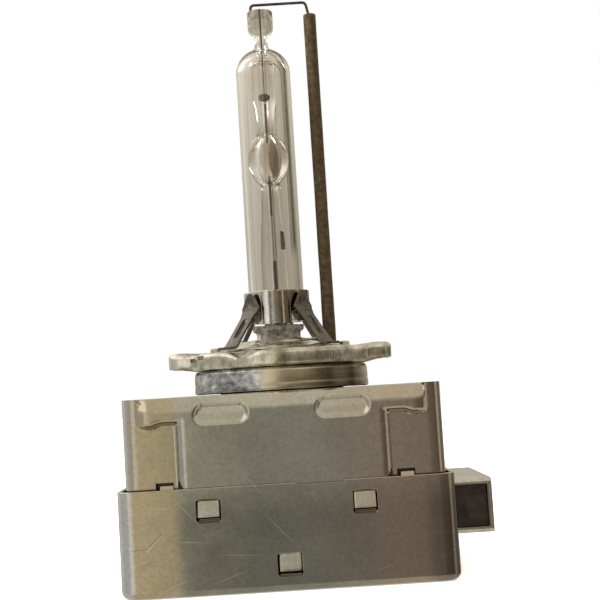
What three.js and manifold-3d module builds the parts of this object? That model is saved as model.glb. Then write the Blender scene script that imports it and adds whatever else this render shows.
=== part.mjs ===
// Gas-discharge headlight bulb with its igniter: a quartz burner with an arc tube, carried by a
// flange and a neck on a sheet-metal box that holds the ignition transformer and its circuit.
// Millimetres, +Z along the burner axis towards its tip, +X towards the electrical connector,
// -Y the front. The origin is on the burner axis, on the underside of the lower cover.
import * as THREE from 'three';
import { mergeVertices } from 'three/addons/utils/BufferGeometryUtils.js';
import Module from 'manifold-3d';

const wasm = await Module();
wasm.setup();

// ---------------------------------------------------------------- driving dimensions

const GAP = 0.3; // play between neighbouring pieces
const SHEET = 0.5; // sheet metal of the covers
const BEYOND = 5; // how far a cutting tool reaches past what it cuts

// Lower cover, an open-topped can.
const LOWER_WIDTH = 42.8;
const LOWER_DEPTH = 36.0;
const LOWER_HEIGHT = 13.4;
const LOWER_CORNER = 2.2;
const LOWER_BEND = 1.0;
const NOTCH = [1.5, 7.4]; // shallow step in the front and rear edges
const NOTCH_DEPTH = 0.25;

// Upper cover, a can turned upside down that slides into the lower one.
const UPPER_WIDTH = 41.0;
const UPPER_DEPTH = 32.4;
const UPPER_BOTTOM = 1.4;
const UPPER_TOP = 24.9;
const UPPER_CORNER = 1.8;
const PANEL_RISE = 0.9; // the raised T on the front and the rear
const PANEL_HALF = 13.4;
const BAND_HALF = 18.6;
const BAND_BOTTOM = 21.3;
const BAND_CORNER = 1.4;
const UPPER_HOLE_RADIUS = 9.1;
const DIMPLE_XS = [-7.7, 7.7]; // ovals pressed into the raised T
const DIMPLE_Z = 22.6;
const DIMPLE_DEPTH = 0.6;
const SLOT_XS = [-15.3, 15.3]; // slots in the recessed corner panels
const SLOT_WIDTH = 2.3;
const SLOT_HEIGHTS = [12.6, 14.2];

// Snap bumps of the upper cover and the windows of the lower cover: [x, z] of their centres.
const SNAPS = [[-9.8, 10.7], [9.8, 10.7], [0, 3.5]];
const WINDOW_WIDTH = 3.2;
const WINDOW_HEIGHT = 2.8;
const SNAP_RISE = 0.8;
const BUMP_WIDTH = 2.6;
const BUMP_HEIGHT = 2.2;

// Neck and reference flange.
const NECK_RADIUS = 12.2;
const FLANGE_RADIUS = 12.7;
const FLANGE_BOTTOM = 28.2;
const FLANGE_TOP = 30.6;
const FLANGE_BORE = 9.0;
const LUG_TIP = 15.7;
const LUG_DEPTH = 7.0;
const REFERENCE_PLANE = 30.9; // top of the lugs, from which the light centre is measured

// Burner.
const LIGHT_CENTRE = 27.1; // height of the arc above the reference plane
const ARC_GAP = 4.2;
const JACKET_RADIUS = 3.9;
const JACKET_WALL = 0.6;
const COLLAR_INNER = JACKET_RADIUS + 0.15;
const COLLAR_OUTER = COLLAR_INNER + 0.3;
const LEG_SHEET = 0.35;
const TUBE_X = 7.2; // the ceramic tube of the return wire, beside the burner
const TUBE_RADIUS = 0.9;
const TUBE_BORE = 0.5;
const WIRE_RADIUS = 0.2;
const HOOK_X = -1.3; // the wire's short end over the burner's tip

// Connector on the right of the box.
const SHELL_TIP = 27.0;
const SHELL_HALF_DEPTH = 10.0;
const SHELL_BOTTOM = 4.7;
const SHELL_TOP = 11.9;
const SHELL_SHEET = 0.35;
const INSERT_HALF_DEPTH = SHELL_HALF_DEPTH - SHELL_SHEET - GAP;
const INSERT_BOTTOM = SHELL_BOTTOM + SHELL_SHEET + GAP;
const INSERT_TOP = SHELL_TOP - SHELL_SHEET - GAP;
const INSERT_WALL = 0.7;
const PIN_YS = [-6, -2, 2, 6];
const PIN_Z = (INSERT_BOTTOM + INSERT_TOP) / 2;

// Inner housing.
const TRAY_HALF_WIDTH = 18.6;
const TRAY_HALF_DEPTH = 15.2;
const TRAY_BOTTOM = 0.8;
const TRAY_TOP = 20.5;
const TRAY_WALL = 1.2;
const BOARD_BOTTOM = 2.6;
const BOARD_TOP = 3.8;

// Ignition transformer, lying along X.
const COIL_Y = -4.5;
const COIL_Z = 12.5;
const COIL_LEFT = -14.0;
const COIL_LENGTH = 23.0;

// ---------------------------------------------------------------- solids and shapes

// A closed geometry as a solid that can be joined to others and cut. A solid stays as it is.
function solid(piece) {
  if (piece instanceof wasm.Manifold) return piece;
  const bare = piece.clone();
  bare.deleteAttribute('normal');
  bare.deleteAttribute('uv');
  const merged = mergeVertices(bare, 1e-4);
  const corners = merged.index.array;
  const triVerts = [];
  for (let i = 0; i < corners.length; i += 3) {
    const [a, b, c] = [corners[i], corners[i + 1], corners[i + 2]];
    if (a !== b && b !== c && c !== a) triVerts.push(a, b, c);
  }
  return new wasm.Manifold(new wasm.Mesh({
    numProp: 3,
    vertProperties: new Float32Array(merged.attributes.position.array),
    triVerts: new Uint32Array(triVerts),
  }));
}

function join(...pieces) {
  return pieces.map(solid).reduce((whole, next) => whole.add(next));
}

function cut(body, ...tools) {
  return tools.map(solid).reduce((rest, tool) => rest.subtract(tool), solid(body));
}

function common(a, b) {
  return solid(a).intersect(solid(b));
}

// The surface of a solid. A geometry stays as it is.
function surface(piece) {
  if (!(piece instanceof wasm.Manifold)) return piece;
  const mesh = piece.getMesh();
  const result = new THREE.BufferGeometry();
  result.setAttribute('position', new THREE.BufferAttribute(mesh.vertProperties, 3));
  result.setIndex(new THREE.BufferAttribute(mesh.triVerts, 1));
  result.computeVertexNormals();
  return result;
}

function block([x0, x1], [y0, y1], [z0, z1]) {
  return new THREE.BoxGeometry(x1 - x0, y1 - y0, z1 - z0)
    .translate((x0 + x1) / 2, (y0 + y1) / 2, (z0 + z1) / 2);
}

// A round bar along Z.
function bar(radius, from, to, sides = 24) {
  return new THREE.CylinderGeometry(radius, radius, to - from, sides)
    .rotateX(Math.PI / 2)
    .translate(0, 0, (from + to) / 2);
}

// A ring or body of revolution about Z. The profile is [radius, height] pairs, anticlockwise,
// and it closes on its first point unless it starts and ends on the axis.
function turned(profile, sides = 48) {
  const points = profile.map(([radius, height]) => new THREE.Vector2(radius, height));
  const onAxis = profile[0][0] === 0 && profile.at(-1)[0] === 0;
  if (!onAxis) points.push(points[0].clone());
  return new THREE.LatheGeometry(points, sides).rotateX(Math.PI / 2);
}

function roundedRectangle(width, depth, radius) {
  const x = width / 2 - radius;
  const y = depth / 2 - radius;
  const quarter = Math.PI / 2;
  return new THREE.Shape()
    .absarc(x, y, radius, 0, quarter)
    .absarc(-x, y, radius, quarter, 2 * quarter)
    .absarc(-x, -y, radius, 2 * quarter, 3 * quarter)
    .absarc(x, -y, radius, 3 * quarter, 4 * quarter);
}

// A shape of the XY plane raised from one height to another.
function raised(shape, from, to, curveSegments = 5) {
  return new THREE.ExtrudeGeometry(shape, { depth: to - from, bevelEnabled: false, curveSegments })
    .translate(0, 0, from);
}

// The same with its two end edges rounded over.
function rounded(shape, from, to, radius, curveSegments = 5, bevelSegments = 3) {
  const depth = to - from - 2 * radius;
  return new THREE.ExtrudeGeometry(shape, {
    depth, curveSegments, bevelSegments,
    bevelEnabled: true, bevelThickness: radius, bevelSize: radius, bevelOffset: -radius,
  }).translate(0, 0, from + radius);
}

// Stands a piece that was raised along Z upright, so that its shape lies in the XZ plane and
// it reaches from y = -to to y = -from.
function facingFront(piece) {
  return piece.rotateX(Math.PI / 2);
}

// The smooth part of an ellipse as [radius, height] pairs, from one angle to another.
function ellipseArc(centre, radius, halfLength, from, to, steps) {
  return Array.from({ length: steps + 1 }, (_, i) => {
    const angle = from + (to - from) * i / steps;
    return [radius * Math.cos(angle), centre + halfLength * Math.sin(angle)];
  });
}

// A wire through the points, with its corners rounded.
function bentWire(points, wireRadius, bendRadius, sides = 8, steps = 40) {
  const path = new THREE.CurvePath();
  let start = points[0];
  for (let i = 1; i < points.length - 1; i += 1) {
    const corner = points[i];
    const into = start.clone().sub(corner).normalize().multiplyScalar(bendRadius).add(corner);
    const out = points[i + 1].clone().sub(corner).normalize().multiplyScalar(bendRadius).add(corner);
    path.add(new THREE.LineCurve3(start, into));
    path.add(new THREE.QuadraticBezierCurve3(into, corner, out));
    start = out;
  }
  path.add(new THREE.LineCurve3(start, points.at(-1)));
  const section = new THREE.Shape().absarc(0, 0, wireRadius, 0, 2 * Math.PI);
  return new THREE.ExtrudeGeometry(section, { extrudePath: path, steps, curveSegments: sides / 2 });
}

// ---------------------------------------------------------------- finishes

const finish = (color, roughness, metalness) => ({ color, roughness, metalness });
const FINISHES = {
  tinnedSteel: finish(0x8f8a7c, 0.35, 0.9),
  wornSteel: finish(0x8a8478, 0.4, 0.9),
  springSteel: finish(0x7d7667, 0.35, 0.9),
  glass: finish(0xe9e6df, 0.05, 0.0),
  quartz: finish(0xf2f0ea, 0.05, 0.0),
  ceramic: finish(0x4a4239, 0.7, 0.0),
  wire: finish(0x4b4845, 0.4, 0.9),
  tungsten: finish(0x3d3b38, 0.5, 0.9),
  halide: finish(0x8c7355, 0.8, 0.0),
  socketPlastic: finish(0x77746b, 0.5, 0.0),
  blackPlastic: finish(0x1d1a18, 0.35, 0.0),
  board: finish(0x2f4d35, 0.6, 0.0),
  ferrite: finish(0x35353a, 0.7, 0.1),
  bobbin: finish(0xc9c2ac, 0.6, 0.0),
  copper: finish(0x9c5b33, 0.35, 0.9),
  brass: finish(0xa98b4a, 0.3, 0.9),
  film: finish(0x2c4f86, 0.5, 0.0),
};

function place(parent, name, shape, look) {
  const mesh = new THREE.Mesh(surface(shape), new THREE.MeshStandardMaterial(FINISHES[look]));
  mesh.name = name;
  parent.add(mesh);
  return mesh;
}

// ---------------------------------------------------------------- covers

// Cuts or adds the same piece at the front and, turned half round, at the rear.
function frontAndRear(piece) {
  return [piece, piece.clone().rotateZ(Math.PI)];
}

// The hole that the connector insert needs through a wall around x.
function insertHole(x) {
  return block([x - 3, x + 2], [-INSERT_HALF_DEPTH - GAP, INSERT_HALF_DEPTH + GAP],
    [INSERT_BOTTOM - GAP, INSERT_TOP + GAP]);
}

function lowerCover() {
  const inside = LOWER_CORNER - SHEET;
  const outer = roundedRectangle(LOWER_WIDTH, LOWER_DEPTH, LOWER_CORNER);
  const inner = roundedRectangle(LOWER_WIDTH - 2 * SHEET, LOWER_DEPTH - 2 * SHEET, inside);
  const tall = 2 * LOWER_HEIGHT;
  const acrossWall = [-LOWER_DEPTH / 2 - 1, -LOWER_DEPTH / 2 + 1.5];
  const windows = SNAPS.flatMap(([x, z]) => frontAndRear(block(
    [x - WINDOW_WIDTH / 2, x + WINDOW_WIDTH / 2], acrossWall,
    [z - WINDOW_HEIGHT / 2, z + WINDOW_HEIGHT / 2])));
  return cut(
    rounded(outer, 0, tall, LOWER_BEND),
    rounded(inner, SHEET, tall, LOWER_BEND - SHEET),
    block([-30, 30], [-30, 30], [LOWER_HEIGHT, tall + 1]),
    block(NOTCH, acrossWall, [LOWER_HEIGHT - NOTCH_DEPTH, tall]),
    insertHole(LOWER_WIDTH / 2),
    ...windows);
}

// The outline of the raised T, smaller all round by inset.
function panelShape(inset) {
  const panel = PANEL_HALF - inset;
  const band = BAND_HALF - inset;
  const bottom = BAND_BOTTOM + inset;
  const top = UPPER_TOP - inset;
  const corner = BAND_CORNER - inset;
  const foot = UPPER_BOTTOM - (inset > 0 ? 1 : 0);
  return new THREE.Shape()
    .moveTo(-panel, foot)
    .lineTo(panel, foot)
    .lineTo(panel, bottom)
    .lineTo(band - corner, bottom)
    .absarc(band - corner, bottom + corner, corner, -Math.PI / 2, 0)
    .lineTo(band, top)
    .lineTo(-band, top)
    .absarc(-band + corner, bottom + corner, corner, Math.PI, 1.5 * Math.PI)
    .lineTo(-panel, bottom);
}

function stadium(width, height) {
  const radius = height / 2;
  const centre = width / 2 - radius;
  return new THREE.Shape()
    .absarc(centre, 0, radius, -Math.PI / 2, Math.PI / 2)
    .absarc(-centre, 0, radius, Math.PI / 2, 1.5 * Math.PI);
}

function upperCover() {
  const reach = UPPER_DEPTH / 2 + PANEL_RISE;
  const outerBox = raised(roundedRectangle(UPPER_WIDTH, UPPER_DEPTH, UPPER_CORNER),
    UPPER_BOTTOM, UPPER_TOP);
  const outerPanel = facingFront(rounded(panelShape(0), -reach, reach, 0.8, 3, 2));
  const innerBox = raised(
    roundedRectangle(UPPER_WIDTH - 2 * SHEET, UPPER_DEPTH - 2 * SHEET, UPPER_CORNER - SHEET),
    UPPER_BOTTOM - 1, UPPER_TOP - SHEET);
  const innerPanel = facingFront(raised(panelShape(SHEET), -reach + SHEET, reach - SHEET, 3));
  const dimpleTool = rounded(stadium(6.4, 2.5), reach - DIMPLE_DEPTH, reach + BEYOND, 0.3, 6, 1);
  const dimpleBack = raised(stadium(7.2, 3.3), reach - DIMPLE_DEPTH - SHEET, reach + BEYOND, 6);
  const [dimples, dimpleBacks] = [dimpleTool, dimpleBack].map((tool) => DIMPLE_XS.flatMap(
    (x) => frontAndRear(facingFront(tool.clone()).translate(x, 0, DIMPLE_Z))));
  const bump = rounded(roundedRectangle(BUMP_WIDTH, BUMP_HEIGHT, 0.5),
    reach - SHEET, reach + SNAP_RISE, 0.4, 2, 1);
  const bumps = SNAPS.flatMap(([x, z]) => frontAndRear(
    facingFront(bump.clone()).translate(x, 0, z)));
  const slots = SLOT_XS.flatMap((x) => frontAndRear(block(
    [x - SLOT_WIDTH / 2, x + SLOT_WIDTH / 2],
    [-UPPER_DEPTH / 2 - 1, -UPPER_DEPTH / 2 + 1], SLOT_HEIGHTS)));
  const cavity = cut(join(innerBox, innerPanel), ...dimpleBacks);
  return cut(
    join(outerBox, outerPanel, ...bumps),
    cavity,
    ...dimples,
    ...slots,
    bar(UPPER_HOLE_RADIUS, UPPER_TOP - 2, UPPER_TOP + 1, 40),
    insertHole(UPPER_WIDTH / 2),
    block([UPPER_WIDTH / 2 - 2, UPPER_WIDTH / 2 + 2],
      [-INSERT_HALF_DEPTH - GAP, INSERT_HALF_DEPTH + GAP], [UPPER_BOTTOM - 1, INSERT_TOP]));
}

// ---------------------------------------------------------------- neck, flange and socket

function baseNeck() {
  const bottom = UPPER_TOP + 0.1;
  const top = FLANGE_BOTTOM - 0.1;
  const inner = NECK_RADIUS - 0.9;
  return turned([
    [inner, bottom], [NECK_RADIUS - 0.15, bottom], [NECK_RADIUS, bottom + 0.2],
    [NECK_RADIUS, bottom + 0.9], [NECK_RADIUS - 0.12, bottom + 1.05],
    [NECK_RADIUS - 0.12, bottom + 1.9], [NECK_RADIUS, bottom + 2.05],
    [NECK_RADIUS, top], [inner, top],
  ], 36);
}

function referenceFlange() {
  const ring = turned([
    [FLANGE_BORE, FLANGE_BOTTOM + 0.5], [FLANGE_RADIUS - 1.2, FLANGE_BOTTOM + 0.5],
    [FLANGE_RADIUS - 1.0, FLANGE_BOTTOM], [FLANGE_RADIUS - 0.2, FLANGE_BOTTOM],
    [FLANGE_RADIUS, FLANGE_BOTTOM + 0.25], [FLANGE_RADIUS, FLANGE_TOP - 0.6],
    [FLANGE_RADIUS - 0.6, FLANGE_TOP], [FLANGE_BORE, FLANGE_TOP],
  ], 36);
  const lugStart = FLANGE_RADIUS - 1.5;
  const lugs = [1, -1].map((side) => rounded(
    roundedRectangle(LUG_TIP - lugStart, LUG_DEPTH, 1.8), FLANGE_BOTTOM + 0.5, REFERENCE_PLANE, 0.5, 4, 2)
    .translate(side * (LUG_TIP + lugStart) / 2, 0, 0));
  const pegs = [-9.3, 9.3].map((x) => bar(0.85, FLANGE_TOP - 0.5, 31.6, 16).translate(x, 4.5, 0));
  const dip = facingFront(raised(stadium(5.4, 2.4), FLANGE_RADIUS - 3.0, FLANGE_RADIUS + 2))
    .translate(-4.8, 0, FLANGE_TOP + 0.2);
  return cut(join(ring, ...lugs, ...pegs), dip);
}

// The insulating body that the burner stands in. Its foot is held under the upper cover.
function burnerSocket() {
  const body = turned([
    [1.0, 22.3], [10.5, 22.3], [10.5, 24.1], [8.7, 24.1], [8.7, 31.0], [6.7, 31.8], [6.4, 32.0],
    [3.4, 32.0], [3.1, 32.3], [3.1, 33.2], [3.6, 33.4], [3.6, 34.1], [2.3, 34.1],
    [2.3, 32.4], [1.0, 32.0],
  ], 28);
  return cut(body, bar(TUBE_RADIUS + 0.2, 20, 33, 12).translate(TUBE_X, 0, 0));
}

// ---------------------------------------------------------------- collar and legs

// The collar grips the glass; four fluted tabs hang from it between the legs.
function burnerCollar() {
  const [bandBottom, bandTop, tabBottom] = [36.3, 38.9, 34.2];
  const ring = turned([
    [COLLAR_INNER, tabBottom], [COLLAR_OUTER, tabBottom],
    [COLLAR_OUTER, bandTop], [COLLAR_INNER, bandTop],
  ], 40);
  const betweenTabs = [45, 135, 225, 315].map((degrees) => block([0, 8], [-1.5, 1.5],
    [tabBottom - 1, bandBottom]).rotateZ(THREE.MathUtils.degToRad(degrees)));
  const flutes = [0, 90, 180, 270].flatMap((degrees) => [-1.3, 0.35, 1.5].map((offset) => {
    const outward = Math.sqrt(COLLAR_OUTER ** 2 - offset ** 2) - 0.12;
    return bar(0.32, tabBottom + 0.05, bandTop - 0.2, 8).translate(offset, -outward, 0)
      .rotateZ(THREE.MathUtils.degToRad(degrees));
  }));
  return cut(join(cut(ring, ...betweenTabs), ...flutes), bar(COLLAR_INNER, 30, 40, 40));
}

// A leg is a strip of sheet, pointed at the top, bent out and down to a foot on the flange.
// It is drawn towards +X, and it turns about the burner axis into its place.
function supportLeg() {
  const collar = COLLAR_OUTER + 0.55;
  const foot = FLANGE_TOP + GAP;
  const side = new THREE.Shape()
    .moveTo(collar, 38.6)
    .lineTo(collar, 36.1)
    .lineTo(9.1, foot)
    .lineTo(10.5, foot)
    .lineTo(10.5, foot + LEG_SHEET)
    .lineTo(9.3, foot + LEG_SHEET)
    .lineTo(collar + LEG_SHEET, 36.2)
    .lineTo(collar + LEG_SHEET, 38.6);
  const strip = facingFront(raised(side, -3, 3));
  const outline = new THREE.Shape()
    .moveTo(-1.3, foot - 1)
    .lineTo(1.3, foot - 1)
    .lineTo(1.25, 35.4)
    .lineTo(1.7, 36.6)
    .lineTo(0.35, 38.6)
    .lineTo(-0.35, 38.6)
    .lineTo(-1.7, 36.6)
    .lineTo(-1.25, 35.4);
  const slot = new THREE.Path()
    .absarc(0, 34.6, 0.32, 0, Math.PI)
    .absarc(0, 32.9, 0.32, Math.PI, 2 * Math.PI);
  outline.holes.push(slot);
  const front = facingFront(raised(outline, -14, -2, 4)).rotateZ(-Math.PI / 2);
  return common(strip, front);
}

// ---------------------------------------------------------------- burner

function outerJacket() {
  const inner = JACKET_RADIUS - JACKET_WALL;
  const quarter = Math.PI / 2;
  return turned([
    [inner, 34.6], [JACKET_RADIUS, 34.6],
    ...ellipseArc(70.6, JACKET_RADIUS, 3.7, 0, 0.8 * quarter, 5),
    [0.95, 74.9], [0.9, 75.6], [1.3, 76.4], [1.85, 76.9], [1.85, 79.7],
    [1.4, 79.7], [1.4, 77.3], [0.5, 76.2], [0.5, 73.5],
    ...ellipseArc(70.6, inner, 2.85, 0.85 * quarter, 0, 5),
  ], 24);
}

const ARC_CENTRE = REFERENCE_PLANE + LIGHT_CENTRE;
const ARC_BORE = 0.45;

function arcTube() {
  const quarter = Math.PI / 2;
  const tube = turned([
    [ARC_BORE, 34.5], [1.85, 34.5], [1.85, 44.0], [1.45, 50.0], [1.25, 53.4], [1.35, 54.3],
    ...ellipseArc(ARC_CENTRE, 2.95, 3.95, -0.7 * quarter, 0.7 * quarter, 8),
    [1.35, 61.7], [1.25, 62.6], [1.4, 64.5], [1.75, 67.0], [1.75, 71.8], [1.5, 72.3],
    [ARC_BORE, 72.3],
    ...ellipseArc(ARC_CENTRE, 1.4, 3.1, 0.79 * quarter, -0.79 * quarter, 8),
  ], 18);
  const foilSlots = [[43.4, 49.7], [66.2, 71.6]].map(([from, to]) => block(
    [-0.4, 0.4], [-1.05, 1.05], [from, to]));
  return cut(tube, ...foilSlots);
}

function halideDeposit() {
  const shell = cut(
    new THREE.SphereGeometry(1, 14, 10).scale(1.3, 1.3, 2.95),
    new THREE.SphereGeometry(1, 14, 10).scale(1.15, 1.15, 2.8));
  const patch = block([0.3, 2], [-2, 0.3], [-2.5, 2.5]);
  return common(shell, patch);
}

function returnWire() {
  const top = 80.9;
  return bentWire([
    new THREE.Vector3(HOOK_X, 0, 79.95),
    new THREE.Vector3(HOOK_X, 0, top),
    new THREE.Vector3(6.7, 0, top),
    new THREE.Vector3(TUBE_X, 0, 78.4),
    new THREE.Vector3(TUBE_X, 0, 23.4),
  ], WIRE_RADIUS, 0.4, 6, 44);
}

// ---------------------------------------------------------------- connector

function connectorShell() {
  const from = LOWER_WIDTH / 2 + 0.1;
  const outerY = [-SHELL_HALF_DEPTH, SHELL_HALF_DEPTH];
  const innerY = outerY.map((y) => y - Math.sign(y) * SHELL_SHEET);
  const innerZ = [SHELL_BOTTOM + SHELL_SHEET, SHELL_TOP - SHELL_SHEET];
  return cut(
    block([from, SHELL_TIP], outerY, [SHELL_BOTTOM, SHELL_TOP]),
    block([from - 1, SHELL_TIP + 1], innerY, innerZ),
    block([from + 0.5, SHELL_TIP - 0.5], [-SHELL_HALF_DEPTH - 1, SHELL_HALF_DEPTH + 1],
      [SHELL_BOTTOM + 0.7, SHELL_TOP - 0.7]));
}

function connectorInsert() {
  const [back, cavityBack, front] = [15.8, 17.2, SHELL_TIP - 0.2];
  const halfCavity = INSERT_HALF_DEPTH - INSERT_WALL;
  return cut(
    block([back, front], [-INSERT_HALF_DEPTH, INSERT_HALF_DEPTH], [INSERT_BOTTOM, INSERT_TOP]),
    block([cavityBack, front + 1], [-halfCavity, halfCavity],
      [INSERT_BOTTOM + INSERT_WALL, INSERT_TOP - INSERT_WALL]),
    ...PIN_YS.map((y) => block([back - 1, cavityBack + 1], [y - 0.8, y + 0.8],
      [PIN_Z - 0.65, PIN_Z + 0.65])));
}

// A pin is a blade that bends down behind the insert to stand on the board.
function connectorPin() {
  return join(
    block([13.1, 21.1], [-0.5, 0.5], [PIN_Z - 0.32, PIN_Z + 0.32]),
    block([13.1, 13.75], [-0.5, 0.5], [BOARD_TOP + 0.1, PIN_Z + 0.32]));
}

// ---------------------------------------------------------------- inner housing and igniter

function innerHousing() {
  const outer = roundedRectangle(2 * TRAY_HALF_WIDTH, 2 * TRAY_HALF_DEPTH, 1.5);
  const inner = roundedRectangle(2 * (TRAY_HALF_WIDTH - TRAY_WALL),
    2 * (TRAY_HALF_DEPTH - TRAY_WALL), 0.8);
  return cut(
    raised(outer, TRAY_BOTTOM, TRAY_TOP, 3),
    raised(inner, TRAY_BOTTOM + 1.4, TRAY_TOP + 1, 3),
    insertHole(TRAY_HALF_WIDTH));
}

function innerHousingLid() {
  const shape = roundedRectangle(2 * TRAY_HALF_WIDTH, 2 * TRAY_HALF_DEPTH, 1.5);
  return cut(
    raised(shape, TRAY_TOP + 0.3, TRAY_TOP + 1.5, 3),
    bar(1.4, 10, 30, 16),
    bar(TUBE_RADIUS + GAP, 10, 30, 16).translate(TUBE_X, 0, 0));
}

function circuitBoard() {
  return block([-16.9, 14.9], [-13.5, 13.5], [BOARD_BOTTOM, BOARD_TOP]);
}

// Pieces of the transformer are turned about Z from 0 to COIL_LENGTH and then laid along X.
function alongCoil(piece) {
  return piece.rotateY(Math.PI / 2).translate(COIL_LEFT, COIL_Y, COIL_Z);
}

function coilBobbin() {
  const [bore, barrel, cheek, thickness] = [3.3, 4.3, 7.2, 1.0];
  return alongCoil(turned([
    [bore, 0], [cheek, 0], [cheek, thickness], [barrel, thickness],
    [barrel, COIL_LENGTH - thickness], [cheek, COIL_LENGTH - thickness],
    [cheek, COIL_LENGTH], [bore, COIL_LENGTH],
  ], 24));
}

function secondaryWinding() {
  const chambers = 5;
  const [from, to] = [1.3, COIL_LENGTH - 1.3];
  const pitch = (to - from) / chambers;
  const outline = Array.from({ length: chambers }, (_, i) => {
    const start = from + i * pitch;
    return [[5.4, start], [6.3, start + 0.3], [6.3, start + pitch - 0.3]];
  }).flat();
  return alongCoil(turned([[4.6, from], ...outline, [5.4, to], [4.6, to]], 20));
}

function primaryWinding() {
  const [turns, radius, pitch] = [3, 6.85, 1.5];
  class Helix extends THREE.Curve {
    getPoint(t) {
      const angle = 2 * Math.PI * turns * t;
      return new THREE.Vector3(
        radius * Math.cos(angle), radius * Math.sin(angle), 3.0 + pitch * turns * t);
    }
  }
  const section = new THREE.Shape().absarc(0, 0, 0.25, 0, 2 * Math.PI);
  return alongCoil(new THREE.ExtrudeGeometry(section,
    { extrudePath: new Helix(), steps: 48, curveSegments: 3 }));
}

function sparkGap() {
  return turned([
    [0, 0], [0.4, 0], [0.4, 1.4], [2.9, 1.4], [2.9, 2.6], [2.6, 2.7], [2.6, 6.5],
    [2.9, 6.6], [2.9, 7.8], [0.4, 7.8], [0.4, 9.2], [0, 9.2],
  ], 18).rotateY(Math.PI / 2).translate(-15.6, 9, 8);
}

function bleedResistor() {
  return turned([
    [0, 0], [0.35, 0], [0.35, 1.6], [1.15, 1.6], [1.3, 2.0], [1.3, 3.0], [1.15, 3.3],
    [1.15, 6.1], [1.3, 6.4], [1.3, 7.4], [1.15, 7.8], [0.35, 7.8], [0.35, 9.4], [0, 9.4],
  ], 12).rotateY(Math.PI / 2).translate(-15.6, 9, 14.6);
}

function ignitionCapacitor() {
  return rounded(roundedRectangle(13.5, 8.6, 0.8), BOARD_TOP + 0.2, 16, 0.6, 3, 2)
    .translate(2.6, 9, 0);
}

// From the right end of the transformer up and across to the burner axis.
function highVoltageContact() {
  return bentWire([
    new THREE.Vector3(COIL_LEFT + COIL_LENGTH + 0.9, COIL_Y, COIL_Z),
    new THREE.Vector3(COIL_LEFT + COIL_LENGTH + 0.9, COIL_Y, 20.2),
    new THREE.Vector3(0, 0, 20.2),
    new THREE.Vector3(0, 0, 24.2),
  ], 0.4, 0.8, 6, 24);
}

// From the foot of the return wire down to the board.
function returnTerminal() {
  return bentWire([
    new THREE.Vector3(TUBE_X, 0, 22.9),
    new THREE.Vector3(TUBE_X, 0, 19.0),
    new THREE.Vector3(11.6, 1.2, 19.0),
    new THREE.Vector3(11.6, 1.2, BOARD_TOP + 0.1),
  ], 0.35, 0.8, 6, 24);
}

// ---------------------------------------------------------------- assembly

const lamp = new THREE.Group();

const housing = new THREE.Group();
lamp.add(housing);
place(housing, 'lower_cover', lowerCover(), 'tinnedSteel');
place(housing, 'upper_cover', upperCover(), 'tinnedSteel');
place(housing, 'base_neck', baseNeck(), 'wornSteel');
place(housing, 'reference_flange', referenceFlange(), 'wornSteel');
place(housing, 'burner_socket', burnerSocket(), 'socketPlastic');

const connector = new THREE.Group();
housing.add(connector);
place(connector, 'connector_shell', connectorShell(), 'tinnedSteel');
place(connector, 'connector_insert', connectorInsert(), 'blackPlastic');
PIN_YS.forEach((y, i) => {
  place(connector, `connector_pin_${i + 1}`, connectorPin(), 'brass').position.y = y;
});

const igniter = new THREE.Group();
lamp.add(igniter);
place(igniter, 'inner_housing', innerHousing(), 'blackPlastic');
place(igniter, 'inner_housing_lid', innerHousingLid(), 'blackPlastic');
place(igniter, 'circuit_board', circuitBoard(), 'board');
place(igniter, 'transformer_core', alongCoil(bar(3.0, 0.2, COIL_LENGTH - 0.2)), 'ferrite');
place(igniter, 'coil_bobbin', coilBobbin(), 'bobbin');
place(igniter, 'secondary_winding', secondaryWinding(), 'copper');
place(igniter, 'primary_winding', primaryWinding(), 'copper');
place(igniter, 'spark_gap', sparkGap(), 'bobbin');
place(igniter, 'bleed_resistor', bleedResistor(), 'bobbin');
place(igniter, 'ignition_capacitor', ignitionCapacitor(), 'film');
place(igniter, 'high_voltage_contact', highVoltageContact(), 'brass');
place(igniter, 'return_terminal', returnTerminal(), 'brass');

const burner = new THREE.Group();
lamp.add(burner);
place(burner, 'outer_jacket', outerJacket(), 'glass');
place(burner, 'arc_tube', arcTube(), 'quartz');
const halfGap = ARC_GAP / 2;
place(burner, 'upper_electrode', bar(0.15, ARC_CENTRE + halfGap, 66.2, 10), 'tungsten');
place(burner, 'lower_electrode', bar(0.15, 49.7, ARC_CENTRE - halfGap, 10), 'tungsten');
place(burner, 'upper_foil', block([-0.06, 0.06], [-0.75, 0.75], [66.4, 71.4]), 'tungsten');
place(burner, 'lower_foil', block([-0.06, 0.06], [-0.75, 0.75], [43.6, 49.5]), 'tungsten');
place(burner, 'upper_lead_wire', bar(0.18, 71.6, 80.2, 10), 'wire');
place(burner, 'lower_lead_wire', bar(0.25, 24.5, 43.4, 10), 'wire');
place(burner, 'halide_salt_deposit', halideDeposit(), 'halide').position.z = ARC_CENTRE;
place(burner, 'return_wire', returnWire(), 'wire');
place(burner, 'return_wire_tube', turned([
  [TUBE_BORE, 22.9], [TUBE_RADIUS, 22.9], [TUBE_RADIUS, 79.0], [TUBE_BORE, 79.0],
], 16).translate(TUBE_X, 0, 0), 'ceramic');
place(burner, 'burner_collar', burnerCollar(), 'springSteel');
const LEG_TURNS = { front_left: -135, front_right: -45, rear_left: 135, rear_right: 45 };
for (const [corner, degrees] of Object.entries(LEG_TURNS)) {
  place(burner, `support_leg_${corner}`, supportLeg(), 'springSteel')
    .rotation.z = THREE.MathUtils.degToRad(degrees);
}

export default lamp;
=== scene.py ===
"""Looks of a gas-discharge headlight bulb: quartz burner, sheet legs, flange, neck and igniter box."""
from contextlib import contextmanager
from math import cos, exp, hypot, pi, radians, sin, sqrt

import bpy
import bmesh
from mathutils import Matrix, Vector, noise


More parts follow.
